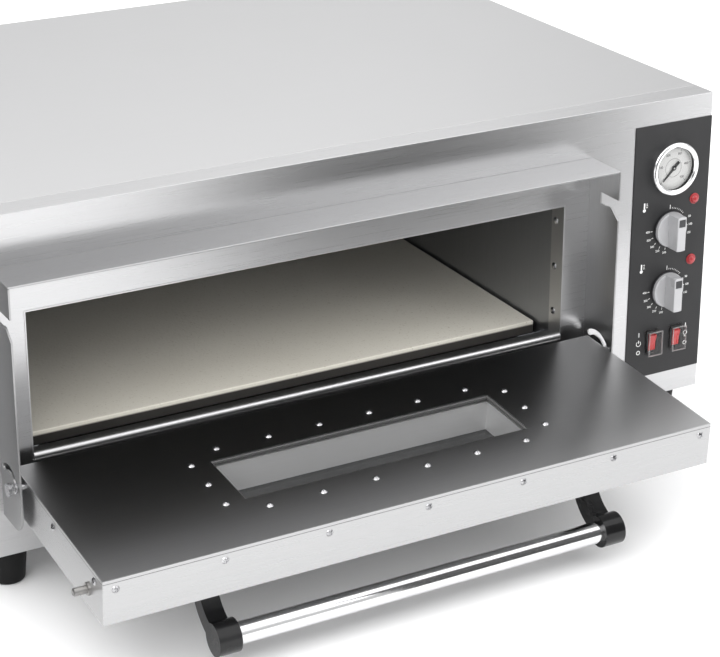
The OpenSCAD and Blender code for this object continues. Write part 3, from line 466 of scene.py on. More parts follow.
class Bench:
    """The modelling steps that every piece shares."""

    def __init__(self, palette: Palette) -> None:
        """Keeps the palette and deselects everything."""
        self.palette = palette
        deselect()

    def take(self, *pieces: bpy.types.Object) -> None:
        """Selects only these pieces, the last of them active."""
        deselect()
        for piece in pieces:
            piece.select_set(True)
            bpy.context.view_layer.objects.active = piece

    @contextmanager
    def editing(self, piece: bpy.types.Object, mode: str = "FACE") -> Iterator[None]:
        """Opens a piece in edit mode with everything selected, and leaves edit mode afterwards.

        Args:
            piece: The piece to edit.
            mode: VERT, EDGE or FACE.

        Yields:
            Nothing.
        """
        self.take(piece)
        bpy.ops.object.mode_set(mode="EDIT")
        bpy.ops.mesh.select_mode(type=mode)
        bpy.ops.mesh.select_all(action="SELECT")
        yield
        bpy.ops.object.mode_set(mode="OBJECT")

    def pick(self, piece: bpy.types.Object, rule: Callable[[Vector], bool]) -> None:
        """Selects the faces whose centres fit a rule. The piece is in edit mode.

        Args:
            piece: The piece being edited.
            rule: Tells from a point whether it belongs.
        """
        bpy.ops.mesh.select_mode(type="FACE")
        bpy.ops.mesh.select_all(action="DESELECT")
        bpy.ops.object.mode_set(mode="OBJECT")
        for face in piece.data.polygons:
            face.select = rule(face.center)
        bpy.ops.object.mode_set(mode="EDIT")

    def settle(self, piece: bpy.types.Object) -> None:
        """Applies a piece's place, turn and size to its mesh."""
        self.take(piece)
        bpy.ops.object.transform_apply(location=True, rotation=True, scale=True)

    def cylinder(self, name: str, radius: float, low: float, high: float, sides: int = 64,
                 tip: float | None = None) -> bpy.types.Object:
        """Adds a cylinder or cone that stands along Z.

        Args:
            name: The piece's name.
            radius: Radius at its foot.
            low: Height of its foot.
            high: Height of its top.
            sides: Number of sides.
            tip: Radius at its top, where it differs.

        Returns:
            The new piece.
        """
        deselect()
        bpy.ops.mesh.primitive_cone_add(vertices=sides, radius1=radius, radius2=radius if tip is None else tip,
                                        depth=high - low, location=(0.0, 0.0, (low + high) / 2))
        piece = bpy.context.object
        piece.name = name
        self.settle(piece)
        return piece

    def brick(self, name: str, low: Triple, high: Triple, radius: float = 0.0, segments: int = 3) -> bpy.types.Object:
        """Adds a box with rounded edges between two corners.

        Args:
            name: The piece's name.
            low: Lowest corner.
            high: Highest corner.
            radius: Radius of its edges.
            segments: Steps of each rounded edge.

        Returns:
            The new piece.
        """
        deselect()
        centre = tuple((a + b) / 2 for a, b in zip(low, high))
        bpy.ops.mesh.primitive_cube_add(size=1.0, location=centre)
        piece = bpy.context.object
        piece.name = name
        piece.scale = tuple(b - a for a, b in zip(low, high))
        self.settle(piece)
        if radius > 0:
            with self.editing(piece, "EDGE"):
                bpy.ops.mesh.bevel(offset=radius, segments=segments, affect="EDGES")
        return piece

    def turned(self, name: str, profile: Sequence[tuple[float, float]], sides: int = 64) -> bpy.types.Object:
        """Spins a profile about Z.

        Args:
            name: The piece's name.
            profile: Points of radius and height; a closed outline if it stays off the axis.
            sides: Steps of the spin.

        Returns:
            The new piece.
        """
        closed = all(r > 1e-7 for r, _ in profile)
        mesh = bpy.data.meshes.new(name)
        count = len(profile)
        edges = [(i, i + 1) for i in range(count - 1)] + ([(count - 1, 0)] if closed else [])
        mesh.from_pydata([(r, 0.0, z) for r, z in profile], edges, [])
        piece = bpy.data.objects.new(name, mesh)
        bpy.context.scene.collection.objects.link(piece)
        with self.editing(piece, "EDGE"):
            bpy.ops.mesh.spin(steps=sides, angle=math.tau, center=(0.0, 0.0, 0.0), axis=(0.0, 0.0, 1.0))
            bpy.ops.mesh.select_all(action="SELECT")
            bpy.ops.mesh.remove_doubles(threshold=1e-6)
            bpy.ops.mesh.select_all(action="SELECT")
            bpy.ops.mesh.normals_make_consistent(inside=False)
        return piece

    def stroke(self, name: str, points: Sequence[Sequence[float]], radius: float, closed: bool = False,
               corner: int = 8) -> bpy.types.Object:
        """Makes a round strand along a line of points.

        Args:
            name: The piece's name.
            points: The points that it passes.
            radius: Its radius.
            closed: Whether the last point joins the first.
            corner: Steps round the strand.

        Returns:
            The new piece.
        """
        curve = bpy.data.curves.new(name, "CURVE")
        curve.dimensions = "3D"
        spline = curve.splines.new("POLY")
        spline.points.add(len(points) - 1)
        for target, point in zip(spline.points, points):
            target.co = (*point, 1.0)
        spline.use_cyclic_u = closed
        curve.bevel_depth = radius
        curve.bevel_resolution = max(1, corner // 4)
        curve.use_fill_caps = True
        piece = bpy.data.objects.new(name, curve)
        bpy.context.scene.collection.objects.link(piece)
        self.take(piece)
        bpy.ops.object.convert(target="MESH")
        return bpy.context.object

    def lettering(self, name: str, body: str, height: float, depth: float) -> bpy.types.Object:
        """Makes plain numerals in the XY plane, centred on the origin.

        Args:
            name: The piece's name.
            body: The numerals.
            height: Height of a figure.
            depth: Thickness of the ink.

        Returns:
            The new piece.
        """
        deselect()
        bpy.ops.object.text_add()
        piece = bpy.context.object
        piece.name = name
        piece.data.body = body
        piece.data.size = height / 0.72
        piece.data.extrude = depth / 2
        piece.data.resolution_u = 3
        piece.data.align_x, piece.data.align_y = "CENTER", "CENTER"
        self.take(piece)
        bpy.ops.object.convert(target="MESH")
        return bpy.context.object

    def placed(self, piece: bpy.types.Object, matrix: Matrix) -> bpy.types.Object:
        """Moves a piece's mesh by a matrix and returns the piece."""
        piece.data.transform(matrix)
        if matrix.determinant() < 0:
            piece.data.flip_normals()
        piece.data.update()
        return piece

    def copied(self, piece: bpy.types.Object, matrix: Matrix) -> bpy.types.Object:
        """Copies a piece with its own mesh and moves the copy."""
        twin = piece.copy()
        twin.data = piece.data.copy()
        bpy.context.scene.collection.objects.link(twin)
        return self.placed(twin, matrix)

    def joined(self, name: str, pieces: Sequence[bpy.types.Object]) -> bpy.types.Object:
        """Joins pieces into one and names it."""
        self.take(*pieces)
        if len(pieces) > 1:
            bpy.ops.object.join()
        whole = bpy.context.object
        whole.name = name
        whole.data.name = name
        return whole

    def modified(self, piece: bpy.types.Object, kind: str, **settings: object) -> bpy.types.Object:
        """Adds a modifier with these settings, applies it and returns the piece."""
        change = piece.modifiers.new(kind.title(), kind)
        for key, value in settings.items():
            setattr(change, key, value)
        self.take(piece)
        bpy.ops.object.modifier_apply(modifier=change.name)
        return piece

    def carved(self, piece: bpy.types.Object, cutter: bpy.types.Object) -> bpy.types.Object:
        """Cuts one piece out of another and removes the cutter."""
        self.modified(piece, "BOOLEAN", operation="DIFFERENCE", object=cutter, solver="EXACT")
        bpy.data.objects.remove(cutter)
        return piece

    def reworked(self, node: str, edge: float, segments: int = 2, angle: float = 35.0) -> bpy.types.Object:
        """Copies a design node's shape and rounds its sharp edges.

        Args:
            node: The design node.
            edge: Radius of the rounded edges.
            segments: Steps of each rounded edge.
            angle: The sharpest angle that is left alone, in degrees.

        Returns:
            The new piece.
        """
        source = frame["nodes"][node]
        piece = bpy.data.objects.new(node + "_finished", source.data.copy())
        bpy.context.scene.collection.objects.link(piece)
        piece.data.materials.clear()
        with self.editing(piece, "VERT"):
            bpy.ops.mesh.remove_doubles(threshold=2e-6)
            bpy.ops.mesh.select_all(action="SELECT")
            bpy.ops.mesh.customdata_custom_splitnormals_clear()
            bpy.ops.mesh.dissolve_limited(angle_limit=math.radians(0.5))
        if edge > 0:
            self.modified(piece, "BEVEL", width=edge, segments=segments, limit_method="ANGLE",
                          angle_limit=math.radians(angle), use_clamp_overlap=True, harden_normals=False)
        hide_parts(node)
        return piece

    def dressed(self, piece: bpy.types.Object, finish: str, body: str, slot: str,
                nodes: Sequence[str] = (), angle: float = 35.0) -> bpy.types.Object:
        """Gives a piece its finish, smooth shading and body, and hides the design nodes that it stands for.

        Args:
            piece: The finished piece.
            finish: The finish's name.
            body: The body that it moves with.
            slot: The record's material slot; not used.
            nodes: Design nodes that it replaces.
            angle: The angle past which an edge stays sharp, in degrees.

        Returns:
            The same piece.
        """
        self.settle(piece)
        piece.data.materials.clear()
        piece.data.materials.append(self.palette[finish])
        for face in piece.data.polygons:
            face.material_index = 0
        self.mapped(piece)
        self.take(piece)
        bpy.ops.object.shade_smooth_by_angle(angle=math.radians(angle))
        self.modified(piece, "WEIGHTED_NORMAL", keep_sharp=True, weight=80, mode="FACE_AREA")
        deselect()
        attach(piece, body)
        if nodes:
            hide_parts(*nodes)
        log.info("%s: %s on %s, %d faces", piece.name, finish, body, len(piece.data.polygons))
        return piece

    def mapped(self, piece: bpy.types.Object) -> None:
        """Lays a brushing map over a piece: its U runs along X, or along Y on faces that look along X."""
        mesh = piece.data
        layer = mesh.uv_layers.get("brushing") or mesh.uv_layers.new(name="brushing")
        for face in mesh.polygons:
            sideways = abs(face.normal.x) > 0.7
            level = abs(face.normal.z) > 0.7
            for corner in face.loop_indices:
                spot = mesh.vertices[mesh.loops[corner].vertex_index].co
                layer.data[corner].uv = (spot.y if sideways else spot.x, spot.y if level else spot.z)

    def painted(self, node: str, finish: str) -> None:
        """Gives a design node that stays as it is a finish."""
        piece = frame["nodes"][node]
        piece.data.materials.clear()
        piece.data.materials.append(self.palette[finish])
        log.info("%s: %s, kept", node, finish)


def centre_of(node: str) -> Vector:
    """Gives the middle of a design node's box."""
    low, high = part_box(node)
    return (low + high) / 2


def facing_front(place: Sequence[float]) -> Matrix:
    """Gives the matrix that turns a piece made along +Z to face the front, at a place."""
    return Matrix.Translation(Vector(place)) @ Matrix.Rotation(math.radians(90), 4, "X")


def arc(cx: float, cy: float, radius: float, start: float, end: float, steps: int) -> list[tuple[float, float]]:
    """Gives points on an arc, its angles in degrees."""
    return [(cx + radius * math.cos(math.radians(start + (end - start) * i / steps)),
             cy + radius * math.sin(math.radians(start + (end - start) * i / steps))) for i in range(steps + 1)]


def screw_head(bench: Bench, name: str, radius: float, height: float) -> bpy.types.Object:
    """Makes one domed screw head with a cross recess, standing on Z = 0.

    Args:
        bench: The bench.
        name: The piece's name.
        radius: Radius of the head.
        height: Height of the head.

    Returns:
        The head.
    """
    dome = (radius**2 + height**2) / (2 * height)
    top = [(dome * math.sin(a), height - dome + dome * math.cos(a))
           for a in (math.asin(radius / dome) * i / 5 for i in range(6))]
    head = bench.turned(name, [*top, (radius, -0.2 * MM), (0.0, -0.2 * MM)], 20)
    for turn in (0, 90):
        arm = bench.brick("cross", (-radius * 0.55, -0.35 * MM, height * 0.45), (radius * 0.55, 0.35 * MM, height * 2))
        head = bench.carved(head, bench.placed(arm, Matrix.Rotation(math.radians(turn), 4, "Z")))
    return head


# ---------------------------------------------------------------- casing


@dataclass
class Casing:
    """The sheet-metal body: panels, feet and the parts at the back."""

    bench: Bench
    panel_edge: float = 0.5 * MM
    fold: float = 1.2 * MM

    def build(self) -> None:
        """Builds the panels and dresses what stays."""
        bench = self.bench
        for node, finish, edge in (
            ("front_panel", "front_steel", self.fold), ("top_cover", "top_steel", self.panel_edge),
            ("left_side_panel", "side_steel", self.panel_edge), ("right_side_panel", "side_steel", self.panel_edge),
            ("rear_panel", "front_steel", self.panel_edge),
        ):
            bench.dressed(bench.reworked(node, edge, 3), finish, "oven", "casing_steel")
        for node in ("front_feet", "rear_feet"):
            bench.dressed(bench.reworked(node, 1.2 * MM, 3, 20), "black_rubber", "oven", "foot_black", angle=50)
        for node, finish, slot in (("base_pan", "side_steel", "casing_steel"),
                                   ("divider_panel", "liner_steel", "liner_steel")):
            bench.dressed(bench.reworked(node, 0.3 * MM, 1), finish, "oven", slot)
        for node, finish in (("casing_screws", "bright_zinc"), ("insulation", "mineral_wool"),
                             ("terminal_block", "glazed_ceramic"), ("cable_gland", "black_moulding")):
            bench.painted(node, finish)


@dataclass
class Collar:
    """The hood and the two hinge plates in front of the chamber."""

    bench: Bench

    def build(self) -> None:
        """Builds the collar."""
        bench = self.bench
        bench.dressed(bench.reworked("hood", 0.7 * MM, 3), "hood_steel", "oven", "casing_steel")
        for node in ("hinge_plate_left", "hinge_plate_right"):
            bench.dressed(bench.reworked(node, 0.4 * MM, 2), "plate_steel", "oven", "casing_steel")
        bench.painted("hinge_pins", "bright_zinc")


@dataclass
class Chamber:
    """The baking chamber: frame, liner, stone, heaters, lamp and probes."""

    bench: Bench

    def build(self) -> None:
        """Builds the chamber."""
        bench = self.bench
        bench.dressed(bench.reworked("chamber_frame", 0.4 * MM, 2), "frame_steel", "oven", "casing_steel")
        bench.dressed(bench.reworked("baking_stone", 1.5 * MM, 3), "baking_stone", "oven", "stone")
        for node, finish in (("chamber_liner", "liner_steel"), ("stone_rails", "liner_steel"),
                             ("lamp_housing", "frame_steel")):
            bench.dressed(bench.reworked(node, 0.3 * MM, 1), finish, "oven", "liner_steel")
        for node, finish in (("upper_element", "heater_sheath"), ("lower_element", "heater_sheath"),
                             ("lamp_bulb", "bulb_frost"),
                             ("lamp_glass", "window_glass"), ("temperature_probes", "drawn_copper")):
            bench.painted(node, finish)


# ---------------------------------------------------------------- door


@dataclass
class Door:
    """The drop-down door. Its own frame has the hinge axis as origin and stands upright when shut."""

    bench: Bench
    sag: float = 3.5
    inner: float = 20 * MM
    outer: float = -28 * MM
    bottom: float = -8 * MM
    top: float = 224 * MM
    half: float = 347 * MM
    window: tuple[float, float, float] = (165.5 * MM, 66 * MM, 148 * MM)
    screw_line: float = 21 * MM
    head: tuple[float, float] = (4 * MM, 2.2 * MM)
    screw_pitch: float = 0.09
    side_screws: tuple[float, float] = (98 * MM, 203 * MM)
    edge_depth: float = 9 * MM
    edge_margins: float = 26 * MM
    latch: tuple[float, float] = (-7.4 * MM, 188.7 * MM)
    stop: tuple[float, float] = (24.4 * MM, 57.7)
    handle_axis: tuple[float, float] = (-78 * MM, 223 * MM)
    body: str = "door"

    def matrix(self) -> Matrix:
        """Gives the door's place when it lies open."""
        hinge = next(j for j in frame["joints"] if j["name"] == "door_hinge")
        return Matrix.Translation(Vector(hinge["pos_m"])) @ Matrix.Rotation(math.radians(90 + self.sag), 4, "X")

    def build(self) -> None:
        """Builds the door."""
        bench = self.bench
        for node, finish, edge, slot in (
            ("door_shell", "door_steel", 0.4 * MM, "liner_steel"), ("door_pan", "pan_steel", 0.5 * MM, "liner_steel"),
            ("window_well", "well_steel", 0.3 * MM, "liner_steel"),
        ):
            bench.dressed(bench.reworked(node, edge, 3 if edge > 0.5 * MM else 1), finish, self.body, slot)
        self.screws()
        self.seam()
        self.gasket()
        self.pins()
        self.handle()
        # The outer glass takes the near-black tint that paints shade into the window.
        for node, finish in (("door_insulation", "mineral_wool"), ("inner_glass", "window_glass"),
                             ("outer_glass", "painted_shade_glass"), ("hinge_blocks", "dark_zinc")):
            bench.painted(node, finish)

    def screw_places(self) -> list[tuple[Triple, Matrix]]:
        """Gives the foot and the turn of every screw in the door's own frame."""
        wx, z0, z1 = self.window
        facing = Matrix.Rotation(math.radians(-90), 4, "X")
        places: list[tuple[Triple, Matrix]] = []
        for i in range(-5, 6, 2):
            for z in (z0 - self.screw_line, z1 + self.screw_line):
                places.append(((i * 2 * wx * self.screw_pitch, self.inner, z), facing))
        for side in (-1, 1):
            for i in range(3):
                places.append(((side * (wx + self.screw_line), self.inner, z0 + i * (z1 - z0) / 2), facing))
            for height in self.side_screws:
                places.append(((side * self.half, self.edge_depth, height),
                               Matrix.Rotation(math.radians(side * 90), 4, "Y")))
        for i in range(-3, 4):
            places.append(((i * (2 * self.half - self.edge_margins) / 6, self.edge_depth, self.top),
                           Matrix.Identity(4)))
        return places

    def screws(self) -> None:
        """Builds the door's screws, each head turned a little differently."""
        bench = self.bench
        model = screw_head(bench, "door_screw", *self.head)
        heads = []
        for i, (place, facing) in enumerate(self.screw_places()):
            turn = Matrix.Rotation(math.radians((i * 47) % 90), 4, "Z")
            heads.append(bench.copied(model, self.matrix() @ Matrix.Translation(Vector(place)) @ facing @ turn))
        bpy.data.objects.remove(model)
        bench.dressed(bench.joined("door_screw_heads", heads), "bright_zinc", self.body, "zinc", ["door_screws"], 30)

    def seam(self) -> None:
        """Builds the dark joint line between the pan and the shell, along the door's ends and its free edge."""
        bench = self.bench
        depth, proud, width = 0.3 * MM, 0.06 * MM, 0.25 * MM
        low, high = self.inner - 3.6 * MM - width, self.inner - 3.6 * MM + width
        lines = [bench.brick("line", (-self.half, low, self.top - depth), (self.half, high, self.top + proud))]
        for side in (-1, 1):
            ends = sorted((side * (self.half - depth), side * (self.half + proud)))
            lines.append(bench.brick("line", (ends[0], low, self.bottom + 12 * MM), (ends[1], high, self.top)))
        whole = bench.placed(bench.joined("door_seam", lines), self.matrix())
        bench.dressed(whole, "dark_packing", self.body, "gasket")

    def gasket(self) -> None:
        """Builds the braided cord that frames the window, as three strands wound about each other."""
        bench = self.bench
        wx, z0, z1 = self.window
        level, inset, corner = self.inner - 3.0 * MM, 0.1 * MM, 4 * MM
        hx, hz, cz = wx - inset, (z1 - z0) / 2 - inset, (z0 + z1) / 2
        line: list[Vector] = []
        for sx, sz, start in ((1, 1, 0), (-1, 1, 90), (-1, -1, 180), (1, -1, 270)):
            for x, z in arc(sx * (hx - corner), cz + sz * (hz - corner), corner, start, start + 90, 6):
                line.append(Vector((x, level, z)))
        path: list[tuple[Vector, Vector]] = []
        for a, b in zip(line, line[1:] + line[:1]):
            steps = max(1, round((b - a).length / (1.1 * MM)))
            along = (b - a).normalized()
            path += [(a.lerp(b, k / steps), along) for k in range(steps)]
        turns = round(len(path) / 7)
        strands = []
        for part in range(3):
            points = []
            for i, (spot, along) in enumerate(path):
                angle = math.tau * (turns * i / len(path) + part / 3)
                across = Vector((0, 1, 0)).cross(along).normalized()
                points.append(spot + 0.75 * MM * (math.cos(angle) * across + math.sin(angle) * Vector((0, 1, 0))))
            strands.append(bench.stroke(f"strand_{part}", points, 0.8 * MM, True, 6))
        whole = bench.placed(bench.joined("window_braid", strands), self.matrix())
        bench.dressed(whole, "braided_glass", self.body, "gasket", angle=60)
        bench.dressed(bench.reworked("window_gasket", 0.3 * MM, 1), "dark_packing", self.body, "gasket")

    def pins(self) -> None:
        """Builds the latch pins and the stop screws."""
        bench = self.bench
        dark, bright = [], []
        pin = bench.turned("latch_pin", [(0.0, 16 * MM), (2.9 * MM, 16 * MM), (4 * MM, 14.9 * MM), (4 * MM, 2.5 * MM),
                                         (5.9 * MM, 2.5 * MM), (6.5 * MM, 1.9 * MM), (6.5 * MM, 0.0), (0.0, 0.0)], 32)
        gap, head = 8.8 * MM, 3 * MM
        stop = bench.turned("stop_screw", [(0.0, gap + 1.6 * MM), (2.4 * MM, gap + 1.6 * MM),
                                           (2.4 * MM, gap + head), (4.7 * MM, gap + head), (5.5 * MM, gap + 2.2 * MM),
                                           (5.5 * MM, gap), (3 * MM, gap), (3 * MM, -3 * MM), (0.0, -3 * MM)], 32)
        reach, angle = self.stop[0], math.radians(self.stop[1])
        for side in (-1, 1):
            facing = Matrix.Rotation(math.radians(side * 90), 4, "Y")
            dark.append(bench.copied(pin, self.matrix() @ Matrix.Translation((side * self.half, *self.latch))
                                     @ facing))
            place = (side * self.half, reach * math.cos(angle), reach * math.sin(angle))
            bright.append(bench.copied(stop, self.matrix() @ Matrix.Translation(place) @ facing))
        for model in (pin, stop):
            bpy.data.objects.remove(model)
        bench.dressed(bench.joined("latch_pins_turned", dark), "dark_zinc", self.body, "zinc", ["latch_pins"])
        bench.dressed(bench.joined("stop_screws_turned", bright), "bright_zinc", self.body, "zinc", ["stop_screws"])

    def handle(self) -> None:
        """Builds the handle's brackets and tube."""
        bench = self.bench
        for node in ("handle_bracket_left", "handle_bracket_right"):
            bench.dressed(bench.reworked(node, 1.6 * MM, 4, 30), "black_moulding", self.body, "black_plastic", angle=40)
        low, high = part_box("handle_tube")
        half, outer, bore, lip = (high.x - low.x) / 2, 11.5 * MM, 10.0 * MM, 0.3 * MM
        tube = bench.turned("handle_bar", [(outer, lip - half), (outer, half - lip), (outer - lip, half), (bore, half),
                                           (bore, -half), (outer - lip, -half)], 72)
        bench.placed(tube, self.matrix() @ Matrix.Translation((0.0, *self.handle_axis))
                     @ Matrix.Rotation(math.radians(90), 4, "Y"))
        bench.dressed(tube, "chrome", self.body, "bezel", ["handle_tube"], 40)


# ---------------------------------------------------------------- controls


@dataclass
class Thermometer:
    """The dial thermometer in the control panel."""

    bench: Bench
    radius: float = 32 * MM
    dial_radius: float = 26.3 * MM
    ink: float = 0.12 * MM
    sweep: tuple[float, float] = (225.0, -45.0)

    def build(self) -> None:
        """Builds the bezel, the printed dial and the glass."""
        bench = self.bench
        low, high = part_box("gauge_bezel")
        middle = (low + high) / 2
        depth = high.y - low.y
        base = facing_front((middle.x, high.y, middle.z))
        r = self.radius
        bezel = bench.turned("gauge_rim", [
            (r, 0.0), (r, depth - 2.6 * MM), *arc(r - 2.6 * MM, depth - 2.6 * MM, 2.6 * MM, 0, 90, 6),
            (r - 4.6 * MM, depth - 0.1 * MM), (r - 6.4 * MM, depth - 1.4 * MM),
            (r - 6.5 * MM, depth - 1.6 * MM), (r - 3.8 * MM, depth - 1.6 * MM), (r - 3.8 * MM, 0.0)], 96)
        bench.dressed(bench.placed(bezel, base), "chrome", "oven", "bezel", ["gauge_bezel"], 30)
        bench.painted("gauge_case", "black_moulding")
        bench.painted("gauge_dial", "dial_white")
        bench.painted("gauge_needle", "dial_ink")
        bench.painted("gauge_glass", "gauge_glass")
        self.print_dial()

    def angle(self, step: int, steps: int) -> float:
        """Gives the angle of one of the scale's equal steps."""
        return math.radians(self.sweep[0] + (self.sweep[1] - self.sweep[0]) * step / steps)

    def print_dial(self) -> None:
        """Builds the dial's scale: long and short strokes and plain numerals."""
        bench = self.bench
        face_y = frame_y(3 * MM)
        spot = centre_of("gauge_case")
        marks = []
        for i in range(51):
            long = i % 10 == 0
            angle = self.angle(i, 50)
            outer = self.dial_radius - 1.6 * MM
            inner = outer - (3.0 * MM if long else 2.0 * MM if i % 5 == 0 else 1.3 * MM)
            width = 0.45 * MM if long else 0.2 * MM
            mark = bench.brick("tick", (inner, -width / 2, 0.0), (outer, width / 2, self.ink))
            marks.append(bench.placed(mark, Matrix.Rotation(angle, 4, "Z")))
        for i in range(6):
            angle = self.angle(i, 5)
            reach = self.dial_radius - 8.2 * MM
            figure = bench.lettering("figure", str(100 * i), 2.9 * MM, self.ink)
            marks.append(bench.placed(figure, Matrix.Translation(
                (reach * math.cos(angle), reach * math.sin(angle), self.ink / 2))))
        ring = bench.turned("ring", [(11.0 * MM, 0.0), (11.0 * MM, self.ink), (11.3 * MM, self.ink),
                                     (11.3 * MM, 0.0)], 64)
        marks.append(ring)
        whole = bench.placed(bench.joined("dial_scale", marks), facing_front((spot.x, face_y, spot.z)))
        bench.dressed(whole, "dial_ink", "oven", "needle", angle=20)


def frame_y(height: float) -> float:
    """Gives the Y of a height in front of the control panel's steel face."""
    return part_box("control_overlay")[1].y - height


def on_overlay(x: float, z: float) -> Matrix:
    """Gives the matrix that lays a piece made along +Z on the front of the overlay."""
    return facing_front((x, frame_y(OVERLAY_FACE), z))


@dataclass
class Knobs:
    """The two thermostat knobs with the scales printed round them."""

    bench: Bench
    radius: float = 21.5 * MM
    disc: tuple[float, float] = (2 * MM, 8 * MM)
    grip: tuple[float, float] = (12 * MM, 26 * MM)
    scale: tuple[float, float] = (25.0 * MM, 30.5 * MM)
    numeral_turns: tuple[int, ...] = (20, 0, -20, -100, -120, -140, -160, -180)

    def build(self) -> None:
        """Builds both knobs and their scales."""
        for node, body in (("knob_upper", "upper_knob"), ("knob_lower", "lower_knob")):
            spot = centre_of(node)
            self.knob(node, body, spot)
            self.printed_scale(node + "_scale", spot)

    def knob(self, node: str, body: str, spot: Vector) -> None:
        """Builds one knob: a dark skirt, a silver disc, a tall grip and the grip's inset.

        Args:
            node: The design node that it stands for.
            body: The body that it turns with.
            spot: The middle of the node.
        """
        bench = self.bench
        back, front = self.disc
        width, height = self.grip
        place = facing_front((spot.x, frame_y(0.0), spot.z))
        skirt = bench.turned(node + "_skirt", [(0.0, back), (self.radius, back), (self.radius, back + 1.8 * MM),
                                               (self.radius - 0.5 * MM, back + 2.2 * MM), (0.0, back + 2.2 * MM)], 96)
        spindle = bench.cylinder("spindle", 3 * MM, -15.5 * MM, back + MM, 32)
        skirt = bench.joined(node + "_skirt", [skirt, spindle])
        bench.dressed(bench.placed(skirt, place), "knob_inset", body, "knob_silver", angle=30)
        r = self.radius - 0.4 * MM
        disc = bench.turned("disc", [(0.0, back + 2 * MM), (r, back + 2 * MM), (r, front - 1.2 * MM),
                                     *arc(r - 1.2 * MM, front - 1.2 * MM, 1.2 * MM, 0, 90, 5)[1:],
                                     (r - 2.4 * MM, front), (r - 3.0 * MM, front - 0.4 * MM), (0.0, front - 0.4 * MM)],
                            96)
        reach = self.radius - 0.3 * MM
        crown = 0.7 * MM
        grip = bench.brick("grip", (-width / 2, -reach, front - 2 * MM), (width / 2, reach, height - crown))
        with bench.editing(grip):
            bench.pick(grip, lambda p: p.z > height - 1.5 * crown)
            bpy.ops.mesh.inset(thickness=1.5 * crown, depth=crown)
        self.round_ends(grip, reach, front - 2 * MM, height)
        slot = bench.brick("slot", (-width * 0.38, reach * 0.42, height - 0.8 * MM),
                           (width * 0.38, reach * 0.86, height + MM))
        grip = bench.carved(grip, slot)
        whole = bench.joined(node + "_cap", [grip, disc])
        bench.dressed(bench.placed(whole, place), "knob_silver", body, "knob_silver", [node], 30)
        pointer = bench.brick(node + "_inset", (-width * 0.37, reach * 0.43, height - 0.9 * MM),
                              (width * 0.37, reach * 0.85, height - 0.2 * MM), 0.15 * MM, 2)
        bench.dressed(bench.placed(pointer, place), "knob_inset", body, "knob_silver")

    def round_ends(self, grip: bpy.types.Object, reach: float, low: float, high: float) -> None:
        """Rounds the grip's ends to the knob's outline and softens its front edges.

        Args:
            grip: The grip's block.
            reach: Half its length.
            low: Height of its foot.
            high: Height of its front.
        """
        bench = self.bench
        trim = bench.cylinder("trim", reach, low - MM, high + MM, 96)
        bench.modified(grip, "BOOLEAN", operation="INTERSECT", object=trim, solver="EXACT")
        bpy.data.objects.remove(trim)
        bench.modified(grip, "BEVEL", width=0.9 * MM, segments=3, limit_method="ANGLE",
                       angle_limit=math.radians(40), use_clamp_overlap=True)

    def printed_scale(self, name: str, spot: Vector) -> None:
        """Prints the scale round a knob: an off stroke at the top, dots and numerals clockwise from it.

        Args:
            name: The piece's name.
            spot: The knob's middle.
        """
        bench = self.bench
        inner, outer = self.scale
        depth = PRINT_DEPTH
        marks = [bench.brick("stroke", (-0.35 * MM, inner - 1 * MM, 0.0), (0.35 * MM, inner + 4 * MM, depth))]
        for i in range(8):
            tick = bench.brick("fine", (inner - 1.0 * MM, -0.2 * MM, 0.0), (inner + 0.8 * MM, 0.2 * MM, depth))
            marks.append(bench.placed(tick, Matrix.Rotation(math.radians(83 - 6 * i), 4, "Z")))
        for i, degrees in enumerate(self.numeral_turns):
            angle = math.radians(degrees)
            tick = bench.brick("tick", (inner - 1.2 * MM, -0.3 * MM, 0.0), (inner + 1.4 * MM, 0.3 * MM, depth))
            marks.append(bench.placed(tick, Matrix.Rotation(angle, 4, "Z")))
            figure = bench.lettering("figure", str(50 * (i + 1)), 2.7 * MM, depth)
            marks.append(bench.placed(figure, Matrix.Translation(
                (outer * math.cos(angle), outer * 0.98 * math.sin(angle), depth / 2))))
        face = on_overlay(spot.x, spot.z)
        bench.dressed(bench.placed(bench.joined(name, marks), face), "panel_ink", "oven", "dial", angle=20)


